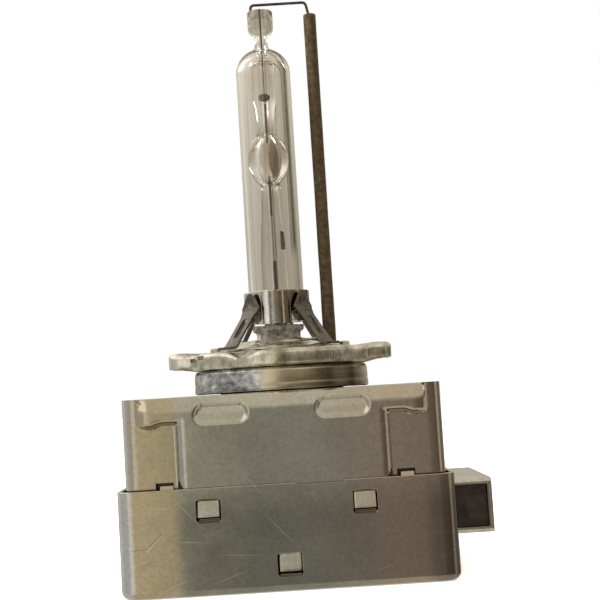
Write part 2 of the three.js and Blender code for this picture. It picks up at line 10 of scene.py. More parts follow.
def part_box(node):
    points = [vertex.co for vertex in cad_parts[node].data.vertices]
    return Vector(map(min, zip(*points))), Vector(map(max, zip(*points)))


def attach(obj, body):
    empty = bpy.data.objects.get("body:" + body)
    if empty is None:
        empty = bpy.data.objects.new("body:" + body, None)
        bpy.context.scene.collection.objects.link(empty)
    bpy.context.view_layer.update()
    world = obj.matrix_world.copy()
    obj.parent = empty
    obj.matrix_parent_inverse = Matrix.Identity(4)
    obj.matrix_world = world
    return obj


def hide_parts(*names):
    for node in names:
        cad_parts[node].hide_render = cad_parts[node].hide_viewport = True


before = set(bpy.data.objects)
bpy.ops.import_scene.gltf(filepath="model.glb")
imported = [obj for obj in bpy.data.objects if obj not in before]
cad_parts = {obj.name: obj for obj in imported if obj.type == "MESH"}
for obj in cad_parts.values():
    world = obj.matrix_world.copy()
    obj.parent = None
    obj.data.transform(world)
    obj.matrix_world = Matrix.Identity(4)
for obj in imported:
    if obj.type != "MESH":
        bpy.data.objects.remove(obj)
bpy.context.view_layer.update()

MM = 0.001
BODY = "root"
SCENE = bpy.context.scene


# ---- places, read from the frame

def box_mm(node):
    low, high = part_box(node)
    return Vector(low) / MM, Vector(high) / MM


LOWER_LOW, LOWER_HIGH = box_mm("lower_cover")
UPPER_LOW, UPPER_HIGH = box_mm("upper_cover")
NECK_LOW, NECK_HIGH = box_mm("base_neck")
FLANGE_LOW, FLANGE_HIGH = box_mm("reference_flange")
SOCKET_LOW, SOCKET_HIGH = box_mm("burner_socket")
COLLAR_LOW, COLLAR_HIGH = box_mm("burner_collar")
JACKET_LOW, JACKET_HIGH = box_mm("outer_jacket")
TUBE_LOW, TUBE_HIGH = box_mm("return_wire_tube")
WIRE_LOW, WIRE_HIGH = box_mm("return_wire")
SHELL_LOW, SHELL_HIGH = box_mm("connector_shell")
INSERT_LOW, INSERT_HIGH = box_mm("connector_insert")
ARC_LOW, ARC_HIGH = box_mm("arc_tube")

SHEET = 0.5
REFERENCE_PLANE = 30.9
ARC_CENTRE = REFERENCE_PLANE + 27.1
TUBE_X = (TUBE_LOW.x + TUBE_HIGH.x) / 2
SNAPS = [(-9.8, 10.7), (9.8, 10.7), (0.0, 3.5)]


# ---- mesh helpers (millimetres in)

def new_object(name, verts, faces):
    mesh = bpy.data.meshes.new(name)
    mesh.from_pydata([tuple(c * MM for c in v) for v in verts], [], faces)
    mesh.validate()
    obj = bpy.data.objects.new(name, mesh)
    SCENE.collection.objects.link(obj)
    recalculate_normals(obj)
    return obj


@contextmanager
def mesh_of(obj):
    """Opens an object's mesh for editing, and writes it back."""
    mesh = bmesh.new()
    mesh.from_mesh(obj.data)
    yield mesh
    mesh.to_mesh(obj.data)
    mesh.free()


def recalculate_normals(obj):
    with mesh_of(obj) as mesh:
        bmesh.ops.recalc_face_normals(mesh, faces=mesh.faces)


def apply_modifiers(obj):
    bpy.context.view_layer.update()
    graph = bpy.context.evaluated_depsgraph_get()
    mesh = bpy.data.meshes.new_from_object(obj.evaluated_get(graph))
    obj.modifiers.clear()
    old = obj.data
    obj.data = mesh
    bpy.data.meshes.remove(old)


def combine(obj, tools, operation):
    """Joins tools to obj, or cuts them out of it."""
    for tool in tools:
        modifier = obj.modifiers.new(operation, "BOOLEAN")
        modifier.object = tool
        modifier.operation = operation
        modifier.solver = "EXACT"
    apply_modifiers(obj)
    for tool in tools:
        bpy.data.objects.remove(tool)
    return obj


def heal(obj, gap=0.012):
    """Closes the slivers that a cut leaves on an uneven surface."""
    with mesh_of(obj) as mesh:
        bmesh.ops.remove_doubles(mesh, verts=mesh.verts, dist=gap * MM)
        bmesh.ops.dissolve_degenerate(mesh, edges=mesh.edges, dist=gap * MM / 2)
        bmesh.ops.triangulate(mesh, faces=[face for face in mesh.faces if len(face.verts) > 4])
    return obj


def ease_edges(obj, width, segments=2, angle=50):
    """Rounds the sharp edges by width, so that they catch the light."""
    modifier = obj.modifiers.new("ease", "BEVEL")
    modifier.width = width * MM
    modifier.segments = segments
    modifier.limit_method = "ANGLE"
    modifier.angle_limit = radians(angle)
    modifier.use_clamp_overlap = False
    apply_modifiers(obj)
    return obj


def smooth(obj, angle=35):
    """Smooth shading that keeps sharp edges and lets the large faces stay flat."""
    obj.data.shade_smooth()
    obj.data.set_sharp_from_angle(angle=radians(angle))
    weigh = obj.modifiers.new("weigh", "WEIGHTED_NORMAL")
    weigh.keep_sharp = True
    weigh.weight = 100
    apply_modifiers(obj)
    return obj


def loft(name, rings, loop=False):
    """A closed skin over rings of equal point count: capped, or looping back to the first ring."""
    count = len(rings[0])
    verts = [point for ring in rings for point in ring]
    faces = []
    pairs = len(rings) if loop else len(rings) - 1
    for i in range(pairs):
        a, b = i * count, (i + 1) % len(rings) * count
        for j in range(count):
            k = (j + 1) % count
            faces.append((a + j, a + k, b + k, b + j))
    if not loop:
        faces.append(tuple(range(count)))
        faces.append(tuple(range((len(rings) - 1) * count, len(rings) * count)))
    return new_object(name, verts, faces)


def arc(cx, cy, radius, start, end, steps):
    """Points of a round arc, from one angle to another in degrees."""
    return [(cx + radius * cos(radians(start + (end - start) * i / steps)),
             cy + radius * sin(radians(start + (end - start) * i / steps)))
            for i in range(steps + 1)]


def rounded_rectangle(width, depth, radius, steps=10):
    x, y = width / 2 - radius, depth / 2 - radius
    return (arc(x, y, radius, 0, 90, steps) + arc(-x, y, radius, 90, 180, steps)
            + arc(-x, -y, radius, 180, 270, steps) + arc(x, -y, radius, 270, 360, steps))


def circle(radius, sides=96):
    return [(radius * cos(2 * pi * i / sides), radius * sin(2 * pi * i / sides))
            for i in range(sides)]


def at_height(points, z):
    return [(x, y, z) for x, y in points]


def at_depth(points, y):
    return [(x, y, z) for x, z in points]


def turned(name, profile, sides=96, centre=(0.0, 0.0)):
    """A body of revolution. The profile is (radius, height) pairs and loops back to its start,
    unless it starts and ends on the axis."""
    on_axis = profile[0][0] == 0 and profile[-1][0] == 0
    inner = profile[1:-1] if on_axis else profile
    rings = [[(x + centre[0], y + centre[1], z) for x, y in circle(radius, sides)]
             for radius, z in inner]
    return loft(name, rings, loop=not on_axis)


def rectangle(x0, y0, x1, y1):
    return [(x0, y0), (x1, y0), (x1, y1), (x0, y1)]


def upright(outline, low, high):
    return loft("tool", [at_height(outline, low), at_height(outline, high)])


def brick(low, high):
    return upright(rectangle(*low[:2], *high[:2]), low[2], high[2])


def moved_copy(obj, matrix):
    copy = obj.copy()
    copy.data = obj.data.copy()
    copy.data.transform(matrix)
    SCENE.collection.objects.link(copy)
    return copy


def mirrored_rear(obj):
    """A copy of a front piece, turned half round to the rear."""
    return moved_copy(obj, Matrix.Rotation(pi, 4, "Z"))


def mirrored_about_x(obj):
    """A copy of a front piece on the rear side, at the same X."""
    copy = moved_copy(obj, Matrix.Scale(-1, 4, (0, 1, 0)))
    recalculate_normals(copy)
    return copy


def front_prism(outline, front, back):
    return loft("tool", [at_depth(outline, front), at_depth(outline, back)])


def shifted(points, dx, dz):
    return [(x + dx, z + dz) for x, z in points]


def clamp(t):
    return min(max(t, 0.0), 1.0)


def ease_in_out(t):
    t = clamp(t)
    return t * t * (3 - 2 * t)


def steps_of(count):
    return [i / count for i in range(count + 1)]


def quarter(steps):
    """The angles of a quarter turn."""
    return [pi / 2 * t for t in steps_of(steps)]


def tangents_of(points):
    return [(points[min(i + 1, len(points) - 1)] - points[max(i - 1, 0)]).normalized()
            for i in range(len(points))]


def sweep(name, points, radius, sides=20):
    """A round wire along a smooth list of points."""
    points = [Vector(p) for p in points]
    tangents = tangents_of(points)
    side = tangents[0].orthogonal().normalized()
    rings = []
    for point, tangent in zip(points, tangents):
        side = (side - tangent * side.dot(tangent)).normalized()
        up = tangent.cross(side)
        rings.append([point + side * (x * radius) + up * (y * radius) for x, y in circle(1, sides)])
    return loft(name, rings)


def rounded_path(points, bend, steps=8):
    """The corners of a polyline replaced by smooth bends."""
    points = [Vector(p) for p in points]
    path = [points[0]]
    for before, corner, after in zip(points, points[1:], points[2:]):
        start = corner + (before - corner).normalized() * bend
        end = corner + (after - corner).normalized() * bend
        for t in steps_of(steps):
            path.append(start * (1 - t) ** 2 + corner * 2 * t * (1 - t) + end * t ** 2)
    return path + [points[-1]]


def ripple(obj, size, amount):
    """Moves each vertex along its normal by smooth noise, so that formed metal is a little uneven."""
    mesh = obj.data
    normals = [v.normal.copy() for v in mesh.vertices]
    for vertex, normal in zip(mesh.vertices, normals):
        where = vertex.co / (size * MM)
        vertex.co += normal * (noise.noise(where) * amount * MM)
    return obj


# ---- materials

WHITE = (1, 1, 1)
EVEN = (1, 1, 1)
MIX_FACTOR, MIX_A, MIX_B, MIX_RESULT = 0, 6, 7, 2
SPECK, STREAK = (0.80, 0.79, 0.77), (0.84, 0.82, 0.79)
HAIRLINE_TURNS, HAIRLINE_LEAN = (-3.0, 19.0, -47.0), 4.0
HAIRLINE_STRENGTH, HAIRLINE_TONE = 0.26, (0.72, 0.70, 0.64)
QUARTZ_IOR = 1.46
# The painted dark line in the jacket that stands for its inner wall seen edge-on: where it turns over
# the shoulder, its distance from the axis and its colour.
LINE_SHOULDER, LINE_REACH, PAINTED_WALL_LINE_TONE = 70.8, 3.05, (0.14, 0.12, 0.09)
# The collar's painted light and shade across its front, from left to right: pale grey, a painted white
# highlight, a dark line beside it, then browns that darken towards the right.
COLLAR_LIGHT_AND_SHADE = [(0.30, (0.7, 0.68, 0.64)), (0.44, WHITE), (0.47, (0.22, 0.19, 0.15)),
                (0.52, (0.50, 0.44, 0.34)), (0.70, (0.44, 0.37, 0.27)), (0.9, (0.34, 0.29, 0.22))]


def material_nodes(name):
    material = bpy.data.materials.new(name)
    material.use_nodes = True
    tree = material.node_tree
    return material, tree, tree.nodes["Principled BSDF"]


def is_socket(value):
    return isinstance(value, bpy.types.NodeSocket)


def feed(node, inputs):
    """Links the inputs that are given another node's output, and sets those that are given a value."""
    for key, value in inputs.items():
        if is_socket(value):
            node.id_data.links.new(value, node.inputs[key])
        else:
            node.inputs[key].default_value = value


def add_node(tree, kind, inputs, **settings):
    node = tree.nodes.new("ShaderNode" + kind)
    for key, value in settings.items():
        setattr(node, key, value)
    feed(node, inputs)
    return node.outputs


def object_place(tree):
    return add_node(tree, "TexCoord", {})["Object"]


def noise_node(tree, scale, detail=4.0, stretch=EVEN, roughness=0.55, place=None):
    """Noise in object space. The scale is in patches per millimetre."""
    place = object_place(tree) if place is None else place
    grid = {"Vector": place, "Scale": [s / MM for s in stretch]}
    texture = {"Vector": add_node(tree, "Mapping", grid)["Vector"],
               "Scale": scale, "Detail": detail, "Roughness": roughness}
    return add_node(tree, "TexNoise", texture)["Fac"]


def ramp_node(value, stops):
    """A colour ramp over value: stops are (position, colour)."""
    output = add_node(value.id_data, "ValToRGB", {"Fac": value})["Color"]
    elements = output.node.color_ramp.elements
    while len(elements) < len(stops):
        elements.new(0.5)
    for element, (position, colour) in zip(elements, stops):
        element.position = position
        element.color = (*colour, 1.0)
    return output


def range_node(value, low, high, from_low=0.3, from_high=0.7, **settings):
    limits = {"From Min": from_low, "From Max": from_high, "To Min": low, "To Max": high}
    return add_node(value.id_data, "MapRange", {"Value": value, **limits}, **settings)["Result"]


def smooth_step(value, low, high, to_low=0.0, to_high=1.0):
    return range_node(value, to_low, to_high, low, high, interpolation_type="SMOOTHSTEP")


def mix_node(factor, first, second, blend="MIX"):
    tree = next(value for value in (factor, first, second) if is_socket(value)).id_data
    first, second = (c if is_socket(c) else (*c, 1.0) for c in (first, second))
    return add_node(tree, "Mix", {MIX_FACTOR: factor, MIX_A: first, MIX_B: second},
                    data_type="RGBA", blend_type=blend)[MIX_RESULT]


def tinted(colour, tint):
    return mix_node(1.0, colour, tint, "MULTIPLY")


def bump_node(shader, height, distance, strength):
    bump = {"Height": height, "Distance": distance * MM, "Strength": strength}
    feed(shader, {"Normal": add_node(shader.id_data, "Bump", bump)["Normal"]})


def math_node(operation, *values):
    return add_node(values[0].id_data, "Math", dict(enumerate(values)), operation=operation)[0]


def axis_node(tree, axis):
    """The position along one axis, in millimetres."""
    split = add_node(tree, "SeparateXYZ", {"Vector": object_place(tree)})
    return math_node("MULTIPLY", split[axis], 1 / MM)


def sheet_metal(name, dark, light, roughness, grain=EVEN, bump=0.006, patch=0.12, painted_light_stops=None):
    """Worn sheet: broad patches of tone, fine grain, faint scuffs and a slight waviness; where stops
    are given, painted light and shade across X.
    """
    material, tree, shader = material_nodes(name)
    fine = noise_node(tree, 2.6, 4, grain)
    tone = ramp_node(noise_node(tree, patch, 3), [(0.3, dark), (0.7, light)])
    # Painted light and shade across X, where stops are given.
    if painted_light_stops:
        across = range_node(axis_node(tree, "X"), 0.0, 1.0, -5.0, 5.0)
        tone = tinted(tone, ramp_node(across, painted_light_stops))
    speck = ramp_node(fine, [(0.3, SPECK), (0.65, WHITE)])
    scuffs = noise_node(tree, 0.5, 5, (0.6, 0.6, 1.6))
    feed(shader, {"Metallic": 1.0, "Base Color": tinted(tone, speck),
                  "Roughness": range_node(scuffs, *roughness)})
    bump_node(shader, fine, bump, 0.5)
    return material


def hairlines(tree, turn):
    """Short fine scratches, all turned one way in the plane of the front."""
    rotation = (0.0, radians(turn), radians(HAIRLINE_LEAN))
    place = add_node(tree, "Mapping", {"Vector": object_place(tree), "Rotation": rotation})["Vector"]
    grain = noise_node(tree, 1.0, 2.0, (0.12, 0.12, 3.4), 0.5, place)
    return smooth_step(grain, 0.66, 0.78, 0.0, HAIRLINE_STRENGTH)


def cover_sheet(name, darker_below):
    """Tinned sheet of the box: a painted beige reflection and a painted highlight on the left of its
    front, browns to the right and painted shade at the right end.
    """
    material, tree, shader = material_nodes(name)
    across, height = axis_node(tree, "X"), axis_node(tree, "Z")
    # Painted highlight: the front of the left corner bend is a paler grey.
    edge = smooth_step(across, -20.1, -19.2)
    # Painted reflection: a beige zone over the left of the front.
    front = smooth_step(axis_node(tree, "Y"), -15.6, -14.0, 1.0, 0.0)
    left = math_node("MULTIPLY", front, smooth_step(across, -14.5, -12.6, 1.0, 0.0))
    right = smooth_step(across, 3.0, 16.0)
    # The tone is darker below the given height and lighter above it.
    upper = smooth_step(height, darker_below - 4.4, darker_below + 2.1)
    broad = noise_node(tree, 0.16, 4)
    darker = ramp_node(broad, [(0.3, (0.25, 0.245, 0.215)), (0.7, (0.33, 0.325, 0.285))])
    paler = ramp_node(broad, [(0.3, (0.42, 0.41, 0.355)), (0.7, (0.52, 0.505, 0.435))])
    middle = mix_node(upper, darker, paler)
    painted_reflection = mix_node(edge, (0.58, 0.57, 0.54), (0.475, 0.42, 0.31))
    tone_with_reflection = mix_node(left, middle, painted_reflection)
    # Painted shade: darker at the right end of the front, below the given height.
    shaded = mix_node(smooth_step(across, 16.6, 18.8), (0.40, 0.335, 0.27), (0.27, 0.225, 0.19))
    brown = mix_node(upper, shaded, (0.50, 0.43, 0.35))
    browned = mix_node(right, tone_with_reflection, brown)
    fine = noise_node(tree, 2.2, 5, EVEN, 0.65)
    scored = tinted(browned, ramp_node(fine, [(0.28, SPECK), (0.62, WHITE)]))
    for turn in HAIRLINE_TURNS:
        scored = mix_node(hairlines(tree, turn), scored, HAIRLINE_TONE)
    scuffs = noise_node(tree, 0.4, 5, (0.6, 0.6, 1.4))
    feed(shader, {"Metallic": 1.0, "Base Color": scored,
                  "Roughness": range_node(scuffs, 0.09, 0.16)})
    bump_node(shader, fine, 0.004, 0.4)
    return material


def tarnish_and_painted_shade_neck():
    """Formed steel: silver and mottled on the left of the front, brown in bands on the right, with
    painted shade over the brown.
    """
    material, tree, shader = material_nodes("neck_metal")
    across = axis_node(tree, "X")
    mottle = noise_node(tree, 0.7, 5, (1, 1, 1.4), 0.7)
    bands = noise_node(tree, 0.35, 4, (0.4, 0.4, 4.0))
    silver = ramp_node(mottle, [(0.32, (0.11, 0.11, 0.11)), (0.5, (0.34, 0.34, 0.335)),
                                (0.72, (0.78, 0.78, 0.77))])
    brown = ramp_node(bands, [(0.3, (0.30, 0.25, 0.17)), (0.52, (0.55, 0.48, 0.36)),
                              (0.7, (0.62, 0.56, 0.44))])
    # Painted shade: the brown darkens across the right of the front, then is lighter again in a strip
    # near the right edge.
    shade = ramp_node(range_node(across, 0.0, 1.0, -NECK_HIGH.x, NECK_HIGH.x),
                      [(0.50, WHITE), (0.62, (0.95, 0.93, 0.88)), (0.76, (0.34, 0.31, 0.28)),
                       (0.90, (0.26, 0.24, 0.22)), (0.93, (0.85, 0.85, 0.85))])
    tone = mix_node(smooth_step(across, -3.6, -1.6), silver, tinted(brown, shade))
    scuffs = noise_node(tree, 0.8, 4)
    feed(shader, {"Metallic": 1.0, "Base Color": tone,
                  "Roughness": range_node(scuffs, 0.14, 0.30)})
    bump_node(shader, scuffs, 0.03, 0.5)
    return material


def clear_glass(name, tint):
    """Quartz with faint draw lines along its length."""
    material, tree, shader = material_nodes(name)
    haze = noise_node(tree, 0.35, 4, (1, 1, 0.3))
    stained = ramp_node(haze, [(0.3, tint), (0.7, WHITE)])
    streaks = ramp_node(noise_node(tree, 1.5, 3, (1, 1, 0.03)), [(0.36, STREAK), (0.5, WHITE)])
    streaked = tinted(stained, streaks)
    feed(shader, {"Transmission Weight": 1.0, "IOR": QUARTZ_IOR, "Base Color": streaked,
                  "Roughness": range_node(haze, 0.02, 0.06)})
    bump_node(shader, noise_node(tree, 0.7, 2, (1, 1, 0.05)), 0.03, 0.4)
    return material, tree, shader, streaked


def jacket_glass():
    """The jacket's quartz: painted light makes it lighter on its left, with one painted dark line down
    inside its right that stands for the inner wall seen edge-on.
    """
    material, tree, shader, streaked = clear_glass("jacket_glass", (0.94, 0.93, 0.90))
    across, height = axis_node(tree, "X"), axis_node(tree, "Z")
    # Painted dark line for the inner wall seen edge-on, down the right and over the shoulder.
    above = math_node("MAXIMUM", math_node("SUBTRACT", height, LINE_SHOULDER), 0.0)
    squares = [math_node("POWER", side, 2.0) for side in (across, above)]
    reach = math_node("SQRT", math_node("ADD", *squares))
    off_line = math_node("ABSOLUTE", math_node("SUBTRACT", reach, LINE_REACH))
    line = smooth_step(off_line, 0.09, 0.2, 1.0, 0.0)
    right = smooth_step(across, 0.5, 1.5)
    ends = smooth_step(height, 43.0, 46.0)
    mask = math_node("MULTIPLY", math_node("MULTIPLY", line, right), ends)
    # Painted light: lighter at the left of the glass, greyer towards the right.
    shade = ramp_node(range_node(across, 0.0, 1.0, -4.0, 4.0),
                      [(0.1, WHITE), (0.45, (0.86, 0.85, 0.83)), (1.0, STREAK)])
    lined = mix_node(mask, tinted(streaked, shade), PAINTED_WALL_LINE_TONE)
    feed(shader, {"Base Color": lined})
    return material


def plain(name, dark, light, roughness, metallic=0.0, scale=1.5, bump=0.02, stretch=EVEN, shine=0.5):
    """A moulded, fired or wound surface: two tones of noise with its own roughness and bump."""
    material, tree, shader = material_nodes(name)
    grain = noise_node(tree, scale, 5, stretch)
    feed(shader, {"Metallic": metallic, "Specular IOR Level": shine,
                  "Base Color": ramp_node(grain, [(0.32, dark), (0.68, light)]),
                  "Roughness": range_node(grain, *roughness)})
    bump_node(shader, noise_node(tree, scale * 4, 4, stretch), bump, 0.6)
    return material


COVER_METAL, UPPER_METAL = cover_sheet("cover_metal", 13.4), cover_sheet("upper_cover_metal", -5.0)
NECK_METAL = tarnish_and_painted_shade_neck()
FLANGE_METAL = sheet_metal("flange_metal", (0.28, 0.25, 0.18), (0.90, 0.87, 0.77), (0.08, 0.24),
                           grain=(1.6, 1.6, 0.4), bump=0.06, patch=0.42)
COLLAR_METAL = sheet_metal("collar_metal", (0.72, 0.71, 0.68), (0.98, 0.97, 0.95), (0.10, 0.20),
                           patch=0.5, painted_light_stops=COLLAR_LIGHT_AND_SHADE)
LEG_METAL = sheet_metal("leg_metal", (0.10, 0.09, 0.075), (0.19, 0.17, 0.145), (0.26, 0.38), patch=0.5)
SHELL_METAL = sheet_metal("shell_metal", (0.46, 0.44, 0.41), (0.70, 0.68, 0.64), (0.10, 0.20),
                          patch=0.4)
JACKET_GLASS = jacket_glass()
ARC_QUARTZ = clear_glass("arc_quartz", (0.96, 0.95, 0.93))[0]
# Painted shade: the ceramic tube is coloured dark brown to stand for the shadow it sits in.
TUBE_PAINTED_SHADE = plain("tube_ceramic", (0.045, 0.032, 0.017), (0.115, 0.083, 0.047), (0.65, 0.85),
                     shine=0.2)
WIRE_METAL = plain("wire_metal", (0.05, 0.045, 0.04), (0.12, 0.11, 0.10), (0.35, 0.5), 1.0)
DARK_METAL = plain("electrode_metal", (0.08, 0.072, 0.062), (0.16, 0.145, 0.125), (0.4, 0.6), 1.0)
WELD_BROWN = plain("weld_bead", (0.13, 0.10, 0.065), (0.34, 0.28, 0.19), (0.4, 0.6), 0.2, scale=2.0)
HALIDE_FILM = plain("halide_film", (0.72, 0.55, 0.36), (0.90, 0.75, 0.54), (0.5, 0.8),
                    scale=2.5, shine=0.2)
SOCKET_CORE = plain("socket_insulator", (0.06, 0.06, 0.054), (0.66, 0.64, 0.58), (0.15, 0.4),
                    scale=0.9, bump=0.15)
BLACK_PLASTIC = plain("black_plastic", (0.020, 0.014, 0.013), (0.055, 0.038, 0.036), (0.10, 0.3),
                      scale=0.7)


def paint(obj, material):
    obj.data.materials.clear()
    obj.data.materials.append(material)


def add_piece(obj, material):
    paint(obj, material)
    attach(obj, BODY)


def stand_for(obj, nodes, material):
    add_piece(obj, material)
    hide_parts(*nodes)


# ---- lower cover

LOWER_CORNER, LOWER_BEND, RIM = 2.2, 1.0, 0.1
WINDOW_WIDTH, WINDOW_HEIGHT, WINDOW_LIP = 3.1, 2.62, 0.34
SCRATCH = [(-19.6, 6.15), (-17.7, 6.1), (-16.9, 6.9), (-15.7, 8.1)]


def snap_window(x, z):
    """The tool that cuts a window, with its lower edge sloping outwards."""
    outer, inner = LOWER_LOW.y, LOWER_LOW.y + SHEET
    straight = rounded_rectangle(WINDOW_WIDTH, WINDOW_HEIGHT, 0.4, 5)
    lipped = [(a, b - (WINDOW_LIP if b < 0 else 0.0)) for a, b in straight]
    return loft("tool", [at_depth(shifted(outline, x, z), y) for outline, y in (
        (lipped, outer - 1), (lipped, outer), (straight, inner - 0.1), (straight, inner + 0.6))])


def lower_cover():
    width, depth, top = LOWER_HIGH.x - LOWER_LOW.x, LOWER_HIGH.y - LOWER_LOW.y, LOWER_HIGH.z
    inner_bend = LOWER_BEND - SHEET
    profile = [(LOWER_BEND * (1 - sin(a)), LOWER_BEND * (1 - cos(a))) for a in quarter(8)]
    profile += [(RIM * (1 - cos(a)), top - RIM * (1 - sin(a))) for a in quarter(3)]
    profile += [(SHEET - RIM * (1 - sin(a)), top - RIM * (1 - cos(a))) for a in quarter(3)]
    profile += [(SHEET + inner_bend * (1 - cos(a)), SHEET + inner_bend * (1 - sin(a)))
                for a in quarter(6)]
    rings = []
    for inset, z in profile:
        outline = rounded_rectangle(width - 2 * inset, depth - 2 * inset, LOWER_CORNER - inset)
        rings.append(at_height(outline, z))
    cover = loft("lower_cover_shell", rings)
    front = LOWER_LOW.y - 1, LOWER_LOW.y + 1.2
    tools = []
    for x, z in SNAPS:
        window = snap_window(x, z)
        tools += [window, mirrored_rear(window)]
    notch = brick((1.5, front[0], top - 0.25), (7.4, front[1], top + 1))
    socket = brick((LOWER_HIGH.x - 2, INSERT_LOW.y - 0.3, INSERT_LOW.z - 0.3),
                   (LOWER_HIGH.x + 2, INSERT_HIGH.y + 0.3, INSERT_HIGH.z + 0.3))
    scratch = sweep("tool", at_depth(SCRATCH, LOWER_LOW.y), 0.07, 8)
    combine(cover, tools + [notch, socket, scratch], "DIFFERENCE")
    ease_edges(cover, 0.05, 2, 60)
    stand_for(smooth(cover), ["lower_cover"], COVER_METAL)


# ---- upper cover

WALL_Y = 16.2
UPPER_CORNER = 1.9
PANEL_RISE = 0.9
BUMP_RISE = 0.8
PANEL_FOOT, PANEL_FLANK = 13.6, 1.25
BAND_FOOT, BAND_FLANK = 18.55, 1.75
BAND_BOTTOM, BAND_SLOPE = 21.4, 0.75
BEND_HEIGHT, BEND_DEPTH = 2.3, 1.6
PANEL_BLEND, EAR_FOOT, EAR_DROP = 0.35, 15.3, 0.4
DIMPLES = [(-7.7, 22.5), (7.7, 22.5)]
DIMPLE_HALF, DIMPLE_RADIUS, DIMPLE_FLANK = 2.15, 1.42, 0.6
DIMPLE_DEPTH, DIMPLE_TILT = 0.42, 0.17
BUMP_HALF, BUMP_TOP, BUMP_BOTTOM, BUMP_FLANK = 1.5, 1.27, 1.15, 0.2
TAB_LEAN = 0.22
SLOT_X, SLOT_HALF, SLOT_FOOT, SLOT_TOP = 15.3, 1.15, 12.4, 14.2
TOP_HOLE = 9.1
FINE = 0.14


def graded(start, end, zones, fine, coarse):
    """Steps from start to end, fine inside the zones and coarse between them."""
    values = [start]
    while values[-1] < end - fine / 2:
        here = values[-1]
        step = fine if any(low - coarse < here < high for low, high in zones) else coarse
        values.append(min(here + step, end))
    return values


def panel_relief(x, z):
    """How far the pressed T stands out of the front wall."""
    away = abs(x)
    ear = EAR_DROP * ease_in_out((away - EAR_FOOT) / 1.5)
    panel = (PANEL_FOOT - away) / PANEL_FLANK
    side = 1 - (BAND_FOOT - away) / BAND_FLANK
    below = 1 - (z - BAND_BOTTOM + ear) / BAND_SLOPE
    band = 1 - hypot(max(side, 0), max(below, 0))
    blend = max(PANEL_BLEND - abs(panel - band), 0) / PANEL_BLEND
    t = clamp(max(panel, band) + PANEL_BLEND * blend * blend / 4)
    return PANEL_RISE * (1 - (1 - t) ** 2)


def dimple_relief(x, z):
    """A long oval pressed inwards, with a soft rim."""
    deepest = 0.0
    for centre_x, centre_z in DIMPLES:
        outside = hypot(max(abs(x - centre_x) - DIMPLE_HALF, 0), z - centre_z)
        floor = DIMPLE_DEPTH + DIMPLE_TILT * (z - centre_z)
        deepest = max(deepest, floor * ease_in_out((DIMPLE_RADIUS - outside) / DIMPLE_FLANK))
    return deepest


def bump_relief(x, z):
    """A snap bump pressed outwards. Its face leans back from just above its lower edge."""
    highest = 0.0
    for centre_x, centre_z in SNAPS:
        side = (BUMP_HALF - abs(x - centre_x)) / BUMP_FLANK
        above = (BUMP_TOP - (z - centre_z)) / BUMP_FLANK
        below = (BUMP_BOTTOM + (z - centre_z)) / 0.25
        t = clamp(1 - hypot(max(1 - side, 0), max(1 - above, 0), max(1 - below, 0)))
        lean = 0.62 * clamp((z - centre_z + BUMP_BOTTOM) / 2.4)
        face = BUMP_RISE * (0.95 - lean - 0.06 * ((x - centre_x) / BUMP_HALF) ** 2)
        highest = max(highest, max(face, 0.0) * sqrt(1 - (1 - t) ** 2))
    return highest


def upper_ring(z, tilt, xs, ys, inset=0.0, pressed=True):
    """The outline of the upper cover at one height. The tilt is how far its top bend has turned."""
    lean = BEND_DEPTH * (1 - cos(tilt))
    half_x, half_y, corner = UPPER_HIGH.x - inset, WALL_Y - inset, UPPER_CORNER - inset
    scale = (half_x - corner) / xs[-1]
    half = []
    for x in xs:
        y = half_y
        if pressed:
            bent = lean * ease_in_out((18.3 - abs(x)) / 0.4)
            y += panel_relief(x, z) - dimple_relief(x, z) + bump_relief(x, z) - bent
        half.append((x * scale, -y))
    half += arc(half_x - corner, corner - half_y, corner, -90, 0, 12)[1:-1]
    for y in ys:
        half.append((half_x - lean * 0.6 * ease_in_out((14.2 - abs(y)) / 0.4), y))
    half += arc(half_x - corner, half_y - corner, corner, 0, 90, 12)[1:-1]
    return at_height(half + [(-x, -y) for x, y in half], z)


